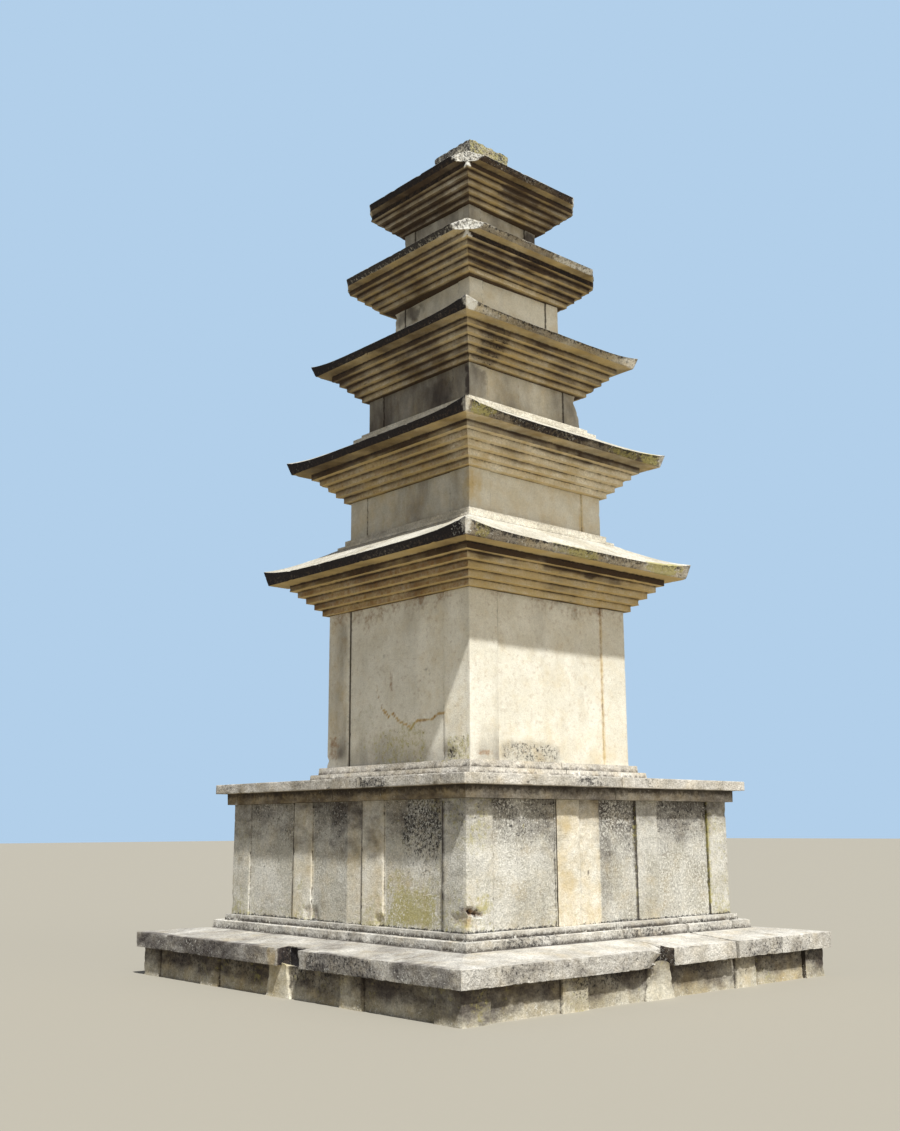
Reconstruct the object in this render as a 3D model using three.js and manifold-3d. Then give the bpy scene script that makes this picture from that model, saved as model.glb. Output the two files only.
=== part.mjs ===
// A five-storey granite pagoda: a low base and a high base, each with a cap course, then five square
// storeys, each a block under one roof stone, and the square stone that once carried the finial.
// Millimetres, +Z up. The origin is the middle of the foot, on the ground. The front faces -Y.
import * as THREE from 'three';
import { mergeVertices } from 'three/addons/utils/BufferGeometryUtils.js';
import Module from 'manifold-3d';

const wasm = await Module();
wasm.setup();

// Joints between stones
const bedGap = 0.3;
const jointGap = 5;
const openJointGap = 40;

// Low base: one course of walls with flat pillars, and its cap course
const lowWall = {
  half: 2618, top: 290, thick: 350, recess: 35, cornerPillar: 325, pillar: 335,
  pillarsFront: [-1283, -129, 1217],
  pillarsOther: [-1241, 8, 1147],
};
const lowCap = {
  half: 2687, edgeTop: 457, slopeTop: 507, inner: 1500, rowDepth: 917,
  rollHalf: 2085, rollDepth: 65, rollHeight: 85, rollSteps: 5,
  stepHalf: 1990, stepTop: 644,
  notchDepth: 190,
};

// High base: twelve upright slabs with flat pillars, and its cap in four stones
const highWall = {
  half: 1937, top: 1824, thick: 340, recess: 18, cornerPillar: 335, pillar: 345,
  pillars: [-608, 575],
  joints: [-766, 408],
};
const highCap = {
  undersideHalf: 1998, undersideTop: 1945, half: 2096, edgeTop: 2050, slopeTop: 2095,
  seatHalves: [1340, 1272], seatTops: [2152, 2230], jointX: 40, jointY: 0,
};

// Storeys: the block, the five corbel steps of its roof, the eave, the slope and the seat above it.
// The two upper blocks have slid and turned a little on their seats. A positive shift is towards the
// front right, and a positive turn is anticlockwise from above.
const corbelSteps = 5;
const storeys = [
  { half: 1199, top: 3966, pillar: 398, recess: 12,
    corbel: [1262, 1540], soffit: 4335, eaveBottom: 1718, eave: 1761, eaveTop: 4446, lift: 66,
    seatHalves: [1141, 1078], seatTops: [4775, 4855] },
  { half: 1034, top: 5313, pillar: 312, recess: 12,
    corbel: [1098, 1376], soffit: 5678, eaveBottom: 1545, eave: 1592, eaveTop: 5774, lift: 57,
    seatHalves: [1020, 950], seatTops: [6093, 6155] },
  { half: 888, top: 6565, pillar: 275, recess: 10,
    corbel: [955, 1215], soffit: 6905, eaveBottom: 1355, eave: 1400, eaveTop: 6988, lift: 55,
    seatHalves: [812, 758], seatTops: [7303, 7370] },
  { half: 700, top: 7702, pillar: 200, recess: 9, shift: 28, turnDegrees: -2.1,
    corbel: [811, 1070], soffit: 8010, eaveBottom: 1178, eave: 1220, eaveTop: 8082, lift: 12,
    seatHalves: [680, 628], seatTops: [8392, 8450], brokenCorners: [2165, 2085, 2150, 2165] },
  { half: 568, top: 8699, pillar: 190, recess: 9, shift: -20, turnDegrees: 2,
    corbel: [642, 900], soffit: 8990, eaveBottom: 990, eave: 1030, eaveTop: 9060, lift: 10,
    seatHalves: [400], seatTops: [9395], brokenCorners: [1780, 1772, 1780, 1785] },
];
const roofPitch = 0.485;
const body1Thick = 400;
const finialBase = { half: 330, top: 9760 };

// Fractions of half a side at which a curved eave gets a point
const eaveFractions = [-1, -0.94, -0.84, -0.7, -0.45, 0, 0.45, 0.7, 0.84, 0.94];
const slopeRows = 4;

const stone = {
  lowWall: { colour: '#6b6050', roughness: 0.95 },
  lowCap: { colour: '#b9b2a4', roughness: 0.92 },
  highWall: { colour: '#b8ad92', roughness: 0.92 },
  highCap: { colour: '#9d9582', roughness: 0.92 },
  block: { colour: '#cabc9a', roughness: 0.9 },
  roof: { colour: '#8f8158', roughness: 0.93 },
  finial: { colour: '#c3bda9', roughness: 0.94 },
  fill: { colour: '#7a6a52', roughness: 1 },
};

const sides = ['front', 'right', 'back', 'left'];
const pagoda = new THREE.Group();

function addStone(name, geometry, finish, turn = 0) {
  const material = new THREE.MeshStandardMaterial({
    color: finish.colour, roughness: finish.roughness, metalness: 0,
  });
  const mesh = new THREE.Mesh(geometry, material);
  mesh.name = name;
  mesh.rotation.z = turn;
  pagoda.add(mesh);
}

// Solids for cuts and joins
function toSolid(geometry) {
  const bare = geometry.clone();
  bare.deleteAttribute('normal');
  bare.deleteAttribute('uv');
  const merged = mergeVertices(bare, 1e-3);
  return new wasm.Manifold(new wasm.Mesh({
    numProp: 3,
    vertProperties: new Float32Array(merged.attributes.position.array),
    triVerts: new Uint32Array(merged.index.array),
  }));
}

function toGeometry(solid) {
  const mesh = solid.getMesh();
  const geometry = new THREE.BufferGeometry();
  geometry.setAttribute('position', new THREE.BufferAttribute(new Float32Array(mesh.vertProperties), 3));
  geometry.setIndex(new THREE.BufferAttribute(new Uint32Array(mesh.triVerts), 1));
  geometry.computeVertexNormals();
  return geometry;
}

function box(low, high) {
  const size = high.map((value, axis) => value - low[axis]);
  const geometry = new THREE.BoxGeometry(...size);
  geometry.translate(...low.map((value, axis) => value + size[axis] / 2));
  return geometry;
}

function prism(outline, low, high) {
  const shape = new THREE.Shape(outline.map(([x, y]) => new THREE.Vector2(x, y)));
  const geometry = new THREE.ExtrudeGeometry(shape, { depth: high - low, bevelEnabled: false });
  geometry.translate(0, 0, low);
  return geometry;
}

// A square ring of points round the axis. Each side has one point for each fraction of its half
// length, and heightAt gives the height there. Its turn runs from 0 to 4, one for each side.
function squareLoop(half, heightAt, fractions = [-1]) {
  const points = [];
  const turns = [];
  for (let side = 0; side < 4; side += 1) {
    for (const fraction of fractions) {
      const corner = new THREE.Vector3(fraction * half, -half, heightAt(Math.abs(fraction)));
      points.push(corner.applyAxisAngle(new THREE.Vector3(0, 0, 1), side * Math.PI / 2));
      turns.push(side + (fraction + 1) / 2);
    }
  }
  return { points, turns };
}

function flatLoop(half, height) {
  return squareLoop(half, () => height);
}

// A closed skin through a stack of square rings, listed up the outside. With onAxis the first and
// last rings are closed by a flat face, and otherwise the last ring joins the first, as in a frame.
function skin(loops, onAxis) {
  const positions = [];
  const index = [];
  const starts = loops.map((loop) => {
    const start = positions.length / 3;
    loop.points.forEach((point) => positions.push(point.x, point.y, point.z));
    return start;
  });
  const stitch = (a, b) => {
    const lower = loops[a];
    const upper = loops[b];
    const at = (start, loop, i) => start + (i % loop.points.length);
    let i = 0;
    let j = 0;
    while (i < lower.points.length || j < upper.points.length) {
      const nextLower = i < lower.points.length ? lower.turns[i + 1] ?? 4 : Infinity;
      const nextUpper = j < upper.points.length ? upper.turns[j + 1] ?? 4 : Infinity;
      const from = at(starts[a], lower, i);
      const above = at(starts[b], upper, j);
      if (nextLower <= nextUpper) {
        i += 1;
        index.push(from, at(starts[a], lower, i), above);
      } else {
        j += 1;
        index.push(from, at(starts[b], upper, j), above);
      }
    }
  };
  for (let k = 0; k + 1 < loops.length; k += 1) {
    stitch(k, k + 1);
  }
  if (onAxis) {
    const last = starts[loops.length - 1];
    index.push(starts[0], starts[0] + 2, starts[0] + 1, starts[0], starts[0] + 3, starts[0] + 2);
    index.push(last, last + 1, last + 2, last, last + 2, last + 3);
  } else {
    stitch(loops.length - 1, 0);
  }
  const geometry = new THREE.BufferGeometry();
  geometry.setAttribute('position', new THREE.Float32BufferAttribute(positions, 3));
  geometry.setIndex(index);
  geometry.computeVertexNormals();
  return geometry;
}

// Plan of a wall stone on the front side, from start to end along it. Its outer face stands on the
// half width at the pillars and steps back by the recess between them.
function wallOutline(start, end, wall, pillars) {
  const outline = [];
  const inPillar = (place) => pillars.some(([from, to]) => place > from && place < to);
  const edges = pillars.flat().filter((place) => place > start + jointGap && place < end - jointGap);
  const places = [start, ...edges.sort((a, b) => a - b), end];
  for (let k = 0; k + 1 < places.length; k += 1) {
    const middle = (places[k] + places[k + 1]) / 2;
    const depth = wall.half - (inPillar(middle) ? 0 : wall.recess);
    outline.push([places[k], -depth], [places[k + 1], -depth]);
  }
  const innerFace = -(wall.half - wall.thick + bedGap);
  outline.push([end, innerFace], [start, innerFace]);
  return outline;
}

function pillarSpans(wall, centres) {
  const spans = centres.map((centre) => [centre - wall.pillar / 2, centre + wall.pillar / 2]);
  const corner = wall.half - wall.cornerPillar;
  return [[-wall.half, -corner], ...spans, [corner, wall.half]];
}

// Plan of a square block with a flat pillar at each corner
function blockOutline({ half, pillar, recess }) {
  const outline = [];
  const edge = half - pillar;
  const inner = half - recess;
  for (let side = 0; side < 4; side += 1) {
    const turn = side * Math.PI / 2;
    const cos = Math.round(Math.cos(turn));
    const sin = Math.round(Math.sin(turn));
    const points = [[-half, -half], [-edge, -half], [-edge, -inner], [edge, -inner], [edge, -half]];
    points.forEach(([x, y]) => outline.push([x * cos - y * sin, x * sin + y * cos]));
  }
  return outline;
}

// Low base walls: each side's course runs from its own corner to the back of the next one
sides.forEach((side, k) => {
  const centres = side === 'front' ? lowWall.pillarsFront : lowWall.pillarsOther;
  const end = lowWall.half - lowWall.thick - jointGap;
  const outline = wallOutline(-lowWall.half, end, lowWall, pillarSpans(lowWall, centres));
  addStone(`low_wall_${side}`, prism(outline, 0, lowWall.top), stone.lowWall, k * Math.PI / 2);
});

// Low base cap: one moulded frame, cut into rows of stones. Each row runs from its own corner to
// the side of the next row. Two stones have lost the edge beside a joint.
const lowCapBottom = lowWall.top + bedGap;
const roll = Array.from({ length: lowCap.rollSteps }, (_, k) => {
  const angle = (k / (lowCap.rollSteps - 1)) * Math.PI / 2;
  const centre = lowCap.rollHalf - lowCap.rollDepth;
  return [centre + lowCap.rollDepth * Math.cos(angle),
    lowCap.slopeTop + lowCap.rollHeight * Math.sin(angle)];
});
const lowCapProfile = [
  [lowCap.inner, lowCapBottom], [lowCap.half, lowCapBottom], [lowCap.half, lowCap.edgeTop],
  ...roll,
  [lowCap.stepHalf, lowCap.slopeTop + lowCap.rollHeight], [lowCap.stepHalf, lowCap.stepTop],
  [lowCap.inner, lowCap.stepTop],
];
const lowCapFrame = toSolid(skin(lowCapProfile.map(([half, z]) => flatLoop(half, z)), false));
const capReach = lowCap.half + 1;
const rowEnd = lowCap.half - lowCap.rowDepth;
const lowCapRows = {
  front: { joints: [0, 1000], gaps: [jointGap, openJointGap], notch: [-310, 0] },
  right: { joints: [80], gaps: [jointGap] },
  back: { joints: [80], gaps: [jointGap] },
  left: { joints: [80], gaps: [jointGap], notch: [80, 400] },
};
sides.forEach((side, k) => {
  const { joints, gaps, notch } = lowCapRows[side];
  const starts = [-capReach, ...joints.map((joint, n) => joint + gaps[n] / 2)];
  const ends = [...joints.map((joint, n) => joint - gaps[n] / 2), rowEnd - jointGap];
  starts.forEach((start, n) => {
    const reach = box([start, -capReach, 0], [ends[n], -rowEnd, highWall.top]);
    reach.rotateZ(k * Math.PI / 2);
    let row = lowCapFrame.intersect(toSolid(reach));
    if (notch && ends[n] >= notch[0] && start <= notch[1]) {
      const [from, to] = notch;
      const deep = -lowCap.half + lowCap.notchDepth;
      const outline = [[from, -capReach], [to, -capReach], [to, deep], [(from + to) / 2, deep]];
      const broken = prism(outline, 0, lowCap.slopeTop);
      broken.rotateZ(k * Math.PI / 2);
      row = row.subtract(toSolid(broken));
    }
    addStone(`low_cap_${side}_${n + 1}`, toGeometry(row), stone.lowCap);
  });
});

// High base walls: three slabs a side, and the side's last pillar is the end of the next slab
sides.forEach((side, k) => {
  const bounds = [-highWall.half, ...highWall.joints, highWall.half - highWall.thick];
  for (let n = 0; n + 1 < bounds.length; n += 1) {
    const start = bounds[n] + (n > 0 ? jointGap / 2 : 0);
    const end = bounds[n + 1] - (n + 2 < bounds.length ? jointGap / 2 : jointGap);
    const outline = wallOutline(start, end, highWall, pillarSpans(highWall, highWall.pillars));
    const slab = prism(outline, lowCap.stepTop + bedGap, highWall.top);
    addStone(`high_wall_${side}_${n + 1}`, slab, stone.highWall, k * Math.PI / 2);
  }
});

// Rubble packed inside both bases
const fillGap = 2;
const lowFill = lowWall.half - lowWall.thick - fillGap;
const highFill = highWall.half - highWall.thick - fillGap;
const capFill = lowCap.inner - fillGap;
addStone('base_fill', skin([
  flatLoop(lowFill, 0), flatLoop(lowFill, lowWall.top), flatLoop(capFill, lowWall.top),
  flatLoop(capFill, lowCap.stepTop + 2 * bedGap), flatLoop(highFill, lowCap.stepTop + 2 * bedGap),
  flatLoop(highFill, highWall.top),
], true), stone.fill);

// High base cap: four stones that meet in a cross joint
const highCapBottom = highWall.top + bedGap;
const highCapSolid = toSolid(skin([
  flatLoop(highCap.undersideHalf, highCapBottom), flatLoop(highCap.undersideHalf, highCap.undersideTop),
  flatLoop(highCap.half, highCap.undersideTop), flatLoop(highCap.half, highCap.edgeTop),
  flatLoop(highCap.seatHalves[0], highCap.slopeTop), flatLoop(highCap.seatHalves[0], highCap.seatTops[0]),
  flatLoop(highCap.seatHalves[1], highCap.seatTops[0]), flatLoop(highCap.seatHalves[1], highCap.seatTops[1]),
], true));
const { jointX, jointY } = highCap;
const beyond = highCap.half + 1;
const quarters = {
  front_left: [[-beyond, -beyond], [jointX - jointGap / 2, jointY - jointGap / 2]],
  front_right: [[jointX + jointGap / 2, -beyond], [beyond, jointY - jointGap / 2]],
  back_right: [[jointX + jointGap / 2, jointY + jointGap / 2], [beyond, beyond]],
  back_left: [[-beyond, jointY + jointGap / 2], [jointX - jointGap / 2, beyond]],
};
Object.entries(quarters).forEach(([place, [low, high]]) => {
  const reach = toSolid(box([...low, 0], [...high, storeys[0].top]));
  addStone(`high_cap_${place}`, toGeometry(highCapSolid.intersect(reach)), stone.highCap);
});

// First storey: four slabs round a rubble core. Here a slab starts at the right end of its side.
const storey1 = storeys[0];
const storey1Wall = {
  half: storey1.half, thick: body1Thick, recess: storey1.recess, cornerPillar: storey1.pillar,
};
const storey1Bottom = highCap.seatTops[1] + bedGap;
sides.forEach((side, k) => {
  const start = -(storey1.half - body1Thick - jointGap);
  const outline = wallOutline(start, storey1.half, storey1Wall, pillarSpans(storey1Wall, []));
  const slab = prism(outline, storey1Bottom, storey1.top);
  addStone(`block_1_${side}`, slab, stone.block, k * Math.PI / 2);
});
const core = storey1.half - body1Thick - fillGap;
addStone('block_1_fill', box([-core, -core, storey1Bottom], [core, core, storey1.top]), stone.fill);

// Height of a roof's slope: it rises inwards from the eave, and the eave lifts towards its corners
function slopeHeight(storey, half, fraction) {
  const toEave = half / storey.eave;
  const rise = roofPitch * (storey.eave - half);
  return storey.eaveTop + rise + storey.lift * (fraction * toEave) ** 5 * toEave ** 4;
}

function roofStone(storey) {
  const bottom = storey.top + bedGap;
  const stepHeight = (storey.soffit - storey.top) / corbelSteps;
  const [firstHalf, lastHalf] = storey.corbel;
  const loops = [];
  for (let step = 0; step < corbelSteps; step += 1) {
    const half = firstHalf + (lastHalf - firstHalf) * step / (corbelSteps - 1);
    const low = step === 0 ? bottom : storey.top + step * stepHeight;
    loops.push(flatLoop(half, low), flatLoop(half, storey.top + (step + 1) * stepHeight));
  }
  loops.push(flatLoop(storey.eaveBottom, storey.soffit));
  const foot = storey.seatHalves[0];
  for (let row = 0; row < slopeRows; row += 1) {
    const half = storey.eave + (foot - storey.eave) * (row / slopeRows) ** 1.3;
    loops.push(squareLoop(half, (fraction) => slopeHeight(storey, half, fraction), eaveFractions));
  }
  loops.push(flatLoop(foot, slopeHeight(storey, foot, 0)));
  storey.seatTops.forEach((top, n) => {
    loops.push(flatLoop(storey.seatHalves[n], top));
    if (n + 1 < storey.seatTops.length) {
      loops.push(flatLoop(storey.seatHalves[n + 1], top));
    }
  });
  const whole = skin(loops, true);
  if (!storey.brokenCorners) {
    return whole;
  }
  // The upper roofs have lost all four corners, along upright planes square to the diagonals. The
  // corner at the front left comes first, and the value is x plus y on its plane.
  let broken = toSolid(whole);
  storey.brokenCorners.forEach((sum, k) => {
    const distance = sum / Math.SQRT2;
    const cut = box([-storey.eave, -2 * storey.eave, storey.top], [storey.eave, -distance, finialBase.top]);
    cut.rotateZ(-Math.PI / 4 + k * Math.PI / 2);
    broken = broken.subtract(toSolid(cut));
  });
  return toGeometry(broken);
}

storeys.forEach((storey, n) => {
  if (n > 0) {
    const seat = storeys[n - 1].seatTops.at(-1) + bedGap;
    const { shift = 0, turnDegrees = 0 } = storey;
    const block = prism(blockOutline(storey), seat, storey.top);
    block.rotateZ(THREE.MathUtils.degToRad(turnDegrees));
    block.translate(shift, -shift, 0);
    addStone(`block_${n + 1}`, block, stone.block);
  }
  addStone(`roof_${n + 1}`, roofStone(storey), stone.roof);
});

// The square base stone of the lost finial
const finialBottom = storeys.at(-1).seatTops.at(-1) + bedGap;
addStone('finial_base', box(
  [-finialBase.half, -finialBase.half, finialBottom], [finialBase.half, finialBase.half, finialBase.top],
), stone.finial);

export default pagoda;
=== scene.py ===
# A five-storey granite pagoda with centuries of weather on it. Metres, +Z up, the front faces -Y.
import math
from functools import partial
import bpy
import numpy as np
from mathutils import Matrix, Vector


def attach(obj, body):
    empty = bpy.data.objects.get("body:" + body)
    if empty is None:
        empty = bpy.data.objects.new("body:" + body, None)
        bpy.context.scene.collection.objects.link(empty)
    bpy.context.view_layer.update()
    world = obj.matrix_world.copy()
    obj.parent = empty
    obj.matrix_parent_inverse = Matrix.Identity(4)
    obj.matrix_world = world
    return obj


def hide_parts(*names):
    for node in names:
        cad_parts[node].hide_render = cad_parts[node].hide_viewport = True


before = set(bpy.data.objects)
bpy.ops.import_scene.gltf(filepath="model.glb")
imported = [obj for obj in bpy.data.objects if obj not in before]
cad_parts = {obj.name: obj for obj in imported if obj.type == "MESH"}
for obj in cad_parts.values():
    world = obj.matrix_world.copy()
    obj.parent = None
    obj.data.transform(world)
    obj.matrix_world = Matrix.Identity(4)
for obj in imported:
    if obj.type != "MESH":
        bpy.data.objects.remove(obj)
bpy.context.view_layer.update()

sides = ["front", "right", "back", "left"]  # each a quarter turn anticlockwise from the one before
stains = ["crust", "ochre", "pale", "moss", "damp", "rust", "speck"]  # what stone can be painted with
cellPrimes = [73856093, 19349663, 83492791]  # these and the next two scatter the noise
seedPrime, mixPrime = 40503, 1274126177
touch = 1e-4  # points this close to a bed lie on it
hair = 0.0004  # and this close to a line are on it
sliver = 0.001  # how far an upright step slopes


# Value noise: each point blends, with 3t^2 - 2t^3, hashed values at the corners of its cell, -1 to 1.
def valueNoise(points, size, seed):
    scaled = points / size
    cell = np.floor(scaled).astype(np.int64)
    t = scaled - cell
    t = t * t * (3 - 2 * t)
    total = np.zeros(len(points))
    for corner in range(8):
        step = np.array([corner & 1, corner >> 1 & 1, corner >> 2 & 1])
        x, y, z = ((cell + step) * cellPrimes).T
        hashed = x ^ y ^ z ^ (seed * seedPrime)
        hashed = (hashed ^ (hashed >> 13)) * mixPrime
        hashed = (hashed ^ (hashed >> 16)) & 0xffff
        total += np.prod(np.where(step, t, 1 - t), axis=1) * (hashed / 32767.5 - 1)
    return total


# Fractal noise: octaves of value noise, each half the size and half the height of the last.
def fractalNoise(points, size, octaves, seed):
    layers = [valueNoise(points, size / 2 ** k, seed + 17 * k) / 2 ** k for k in range(octaves)]
    return sum(layers) / (2 - 2 / 2 ** octaves)


# 3t^2 - 2t^3, where t goes from 0 at low to 1 at high and stays there.
def smoothStep(value, low, high):
    t = np.clip((value - low) / (high - low), 0, 1)
    return t * t * (3 - 2 * t)


# Places along a line: every key, a near pair inside each stretch for the arris to wear over, and even
# steps between. A stretch shorter than three near distances gets no more than its two ends.
def gradedLines(keys, step, near):
    lines = []
    for low, high in zip(keys[:-1], keys[1:]):
        span = high - low
        lines.append([low])
        if abs(span) > 3 * near:
            inset = math.copysign(near, span)
            count = max(1, round((abs(span) - 2 * near) / step))
            lines.append(np.linspace(low + inset, high - inset, count + 1))
    return np.concatenate([*lines, [keys[-1]]])


# The skin of a lattice box: the outer points of every pair of xs, ys and zs lines, shared along the
# edges. A hidden face, given as (axis, end), keeps only a frame of cells round a fan.
def latticeBox(xs, ys, zs, hidden=(), frameCells=2):
    lines = [np.asarray(xs), np.asarray(ys), np.asarray(zs)]
    shape = tuple(len(line) for line in lines)
    places = np.indices(shape)
    inset = [np.minimum(places[a], shape[a] - 1 - places[a]) for a in range(3)]
    hidden = [(a, end) for a, end in hidden
              if min(shape[b] for b in range(3) if b != a) > 2 * frameCells + 3]
    shown = np.zeros(shape, bool)
    for axis in range(3):
        b, c = [other for other in range(3) if other != axis]
        for end in (0, 1):
            face = places[axis] == end * (shape[axis] - 1)
            if (axis, end) in hidden:
                face &= np.minimum(inset[b], inset[c]) <= frameCells
            shown |= face
    index = np.full(shape, -1)
    index[shown] = np.arange(shown.sum())
    points = np.stack([lines[a][places[a][shown]] for a in range(3)], axis=1)
    quads, fans, middles = [], [], []
    for axis in range(3):
        for end in (0, 1):
            face = np.take(index, end * (shape[axis] - 1), axis=axis)
            if (axis == 1) != (end == 0):
                face = face.T
            cells = np.stack([face[:-1, :-1], face[1:, :-1], face[1:, 1:], face[:-1, 1:]], -1).reshape(-1, 4)
            quads.append(cells[(cells >= 0).all(axis=1)])
            if (axis, end) in hidden:
                rim = face[frameCells:face.shape[0] - frameCells, frameCells:face.shape[1] - frameCells]
                loop = np.concatenate([rim[:-1, 0], rim[-1, :-1], rim[:0:-1, -1], rim[0, :0:-1]])
                middle = len(points) + len(middles)
                middles.append(points[loop].mean(axis=0))
                fans.append(np.stack([np.full(len(loop), middle), loop, np.roll(loop, -1)], axis=1))
    if middles:
        points = np.concatenate([points, middles])
    return points, np.concatenate(quads), np.concatenate(fans) if fans else np.zeros((0, 3), int)


# A skin round the axis: ring j is a square of half width halves[j], with points at the given
# fractions of it along each side and heights[j] above them. Both ends are closed by fans.
def ringSkin(halves, heights, fractions):
    rows, count = heights.shape
    along = halves[:, None] * fractions
    away = np.broadcast_to(-halves[:, None], along.shape)
    rings = [np.stack([*turned(along, away, side), heights], axis=-1) for side in range(4)]
    points = np.concatenate(rings, axis=1).reshape(-1, 3)
    ring = 4 * count
    index = np.arange(rows * ring).reshape(rows, ring)
    following = np.roll(index, -1, axis=1)
    quads = np.stack([index[:-1], following[:-1], following[1:], index[1:]], axis=-1).reshape(-1, 4)
    bottom, top = np.full(ring, rows * ring), np.full(ring, rows * ring + 1)
    fans = [np.stack([bottom, following[0], index[0]], axis=1),
            np.stack([top, index[-1], following[-1]], axis=1)]
    middles = [[0, 0, heights[0].mean()], [0, 0, heights[-1].mean()]]
    return np.concatenate([points, middles]), quads, np.concatenate(fans)


# A quarter turn anticlockwise, (x, y) to (-y, x), for each side after the front.
def turned(x, y, side):
    for _ in range(side):
        x, y = -y, x
    return x, y


# Turns a stone that was laid out on the front to its own side.
def turnStone(points, side):
    points[:, 0], points[:, 1] = turned(points[:, 0].copy(), points[:, 1].copy(), side)


# Outward direction at each point: the sum of the cross products of its faces' diagonals.
def outward(points, quads):
    corner = points[quads]
    cross = np.cross(corner[:, 2] - corner[:, 0], corner[:, 3] - corner[:, 1])
    total = np.stack([np.bincount(quads.ravel(), np.repeat(cross[:, axis], 4), len(points))
                      for axis in range(3)], axis=1)
    return total / np.maximum(np.linalg.norm(total, axis=1, keepdims=True), 1e-12)


# Where each point's edges pull it: the mean of the unit vectors to its neighbours. It is nothing on a
# flat face, and points in from an arris and out from an inner corner.
def edgePull(points, quads):
    a = quads.ravel()
    b = np.roll(quads, -1, axis=1).ravel()
    way = points[b] - points[a]
    way /= np.maximum(np.linalg.norm(way, axis=1, keepdims=True), 2e-4)
    count = np.bincount(a, minlength=len(points)) + np.bincount(b, minlength=len(points))
    total = np.stack([np.bincount(a, way[:, axis], len(points)) - np.bincount(b, way[:, axis], len(points))
                      for axis in range(3)], axis=1)
    return total / np.maximum(count[:, None], 1)


# A chip: points within its reach sink along its direction by depth * (1 - (r / reach)^2), broken up
# by noise.
def chip(points, place, direction, reach, depth, seed=0):
    away = np.linalg.norm(points - place, axis=1)
    near = away < reach
    bowl = 1 - (away[near] / reach) ** 2
    rough = 0.75 + 0.5 * valueNoise(points[near], reach / 2.5, seed)
    points[near] -= np.asarray(direction) * (depth * bowl * rough)[:, None]
    return near


# A break: what lies past a plane is pressed back to it, and noise makes the new face uneven.
def breakOff(points, place, direction, rough, size, seed):
    direction = np.asarray(direction) / np.linalg.norm(direction)
    past = (points - place) @ direction + rough * (0.1 + 0.5 * fractalNoise(points, size, 4, seed))
    broken = past > 0
    points[broken] -= past[broken, None] * direction
    return broken


# What the years took from a stone: unevenness and rounding in metres, the sizes of their noise, and
# chips along the arrises, with how pale a fresh one is
plainWear = {
    "uneven": 0.006, "unevenSize": 0.3, "round": 0.006, "roundSize": 0.3, "passes": 3, "arris": -0.2,
    "chips": 50, "chipReach": 0.045, "chipDepth": 0.25, "fresh": 0.1, "fullHollow": 0.3,
}


# Weather on a stone: a slow unevenness inwards, arrises rounded by moving points along their edges'
# pull, more where noise is high, and small chips along the arrises. What is left of the pull outwards
# is painted as hollow: soil and painted shade in the inner corners.
def weather(points, quads, paint, wear, seed):
    random = np.random.default_rng(seed)
    normal = outward(points, quads)
    free = (1 - paint["contact"])[:, None]
    uneven = 0.5 + 0.5 * fractalNoise(points, wear["unevenSize"], 4, seed)
    points -= normal * (wear["uneven"] * uneven)[:, None] * free
    atArris = np.sum(edgePull(points, quads) * normal, axis=1) < wear["arris"]
    arris = np.flatnonzero(atArris & (paint["contact"] < 0.5))
    worn = 0.4 + 0.6 * smoothStep(fractalNoise(points, wear["roundSize"], 3, seed + 5), -0.6, 0.6)
    for _ in range(wear["passes"]):
        points += wear["round"] * worn[:, None] * edgePull(points, quads) * free
    for place in random.choice(arris, wear["chips"]) if len(arris) else []:
        reach = wear["chipReach"] * random.uniform(0.35, 1) ** 2
        depth = wear["chipDepth"] * reach
        struck = chip(points, points[place].copy(), normal[place], reach, depth, seed + int(place))
        paint["pale"][struck] += wear["fresh"]
    normal = outward(points, quads)
    # Hollow: soil and painted shade, darkest in the inner corners
    paint["hollow"] = np.clip(np.sum(edgePull(points, quads) * normal, axis=1) / wear["fullHollow"], -1, 1)


# Which side each point faces, from 0 for the front to 3 for the left, by the larger of |x| and |y|
def sideOf(points):
    x, y = points[:, 0], points[:, 1]
    return np.where(np.abs(y) >= np.abs(x), np.where(y < 0, 0, 2), np.where(x > 0, 1, 3))


# Stains and scars that the photograph shows, gathered beside the stones they are on
marks = []
markForm = {"depth": 0.07, "ragged": 0.42, "edge": (0.75, 1.02), "lineRagged": 0.4, "lineEdge": (0.4, 1.2),
            "margin": 0.1, "seed": 900}


# A mark covers a box on one side of the tower: near the half width w, along the side between two
# places (x on the front, y on the left) and between two heights. It adds to the paint, and sinks.
def mark(side, w, along, heights, sink=0, **added):
    place = [np.mean(along), -w, np.mean(heights)]
    size = [abs(along[1] - along[0]) / 2, markForm["depth"], abs(heights[1] - heights[0]) / 2]
    way = [0, -1, 0]
    if side == "left":
        place, size, way = ([row[1], row[0], row[2]] for row in (place, size, way))
    marks.append({"place": np.array(place), "size": np.array(size), "way": np.array(way),
                  "sink": sink, "added": added})


# A line of stain or crack along places given as (along, height) pairs.
def markLine(side, w, places, width, **added):
    for start, end in zip(places[:-1], places[1:]):
        ends = [np.array([k, -w, z] if side == "front" else [-w, k, z]) for k, z in (start, end)]
        marks.append({"ends": ends, "width": width, "sink": 0, "added": added})


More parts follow.
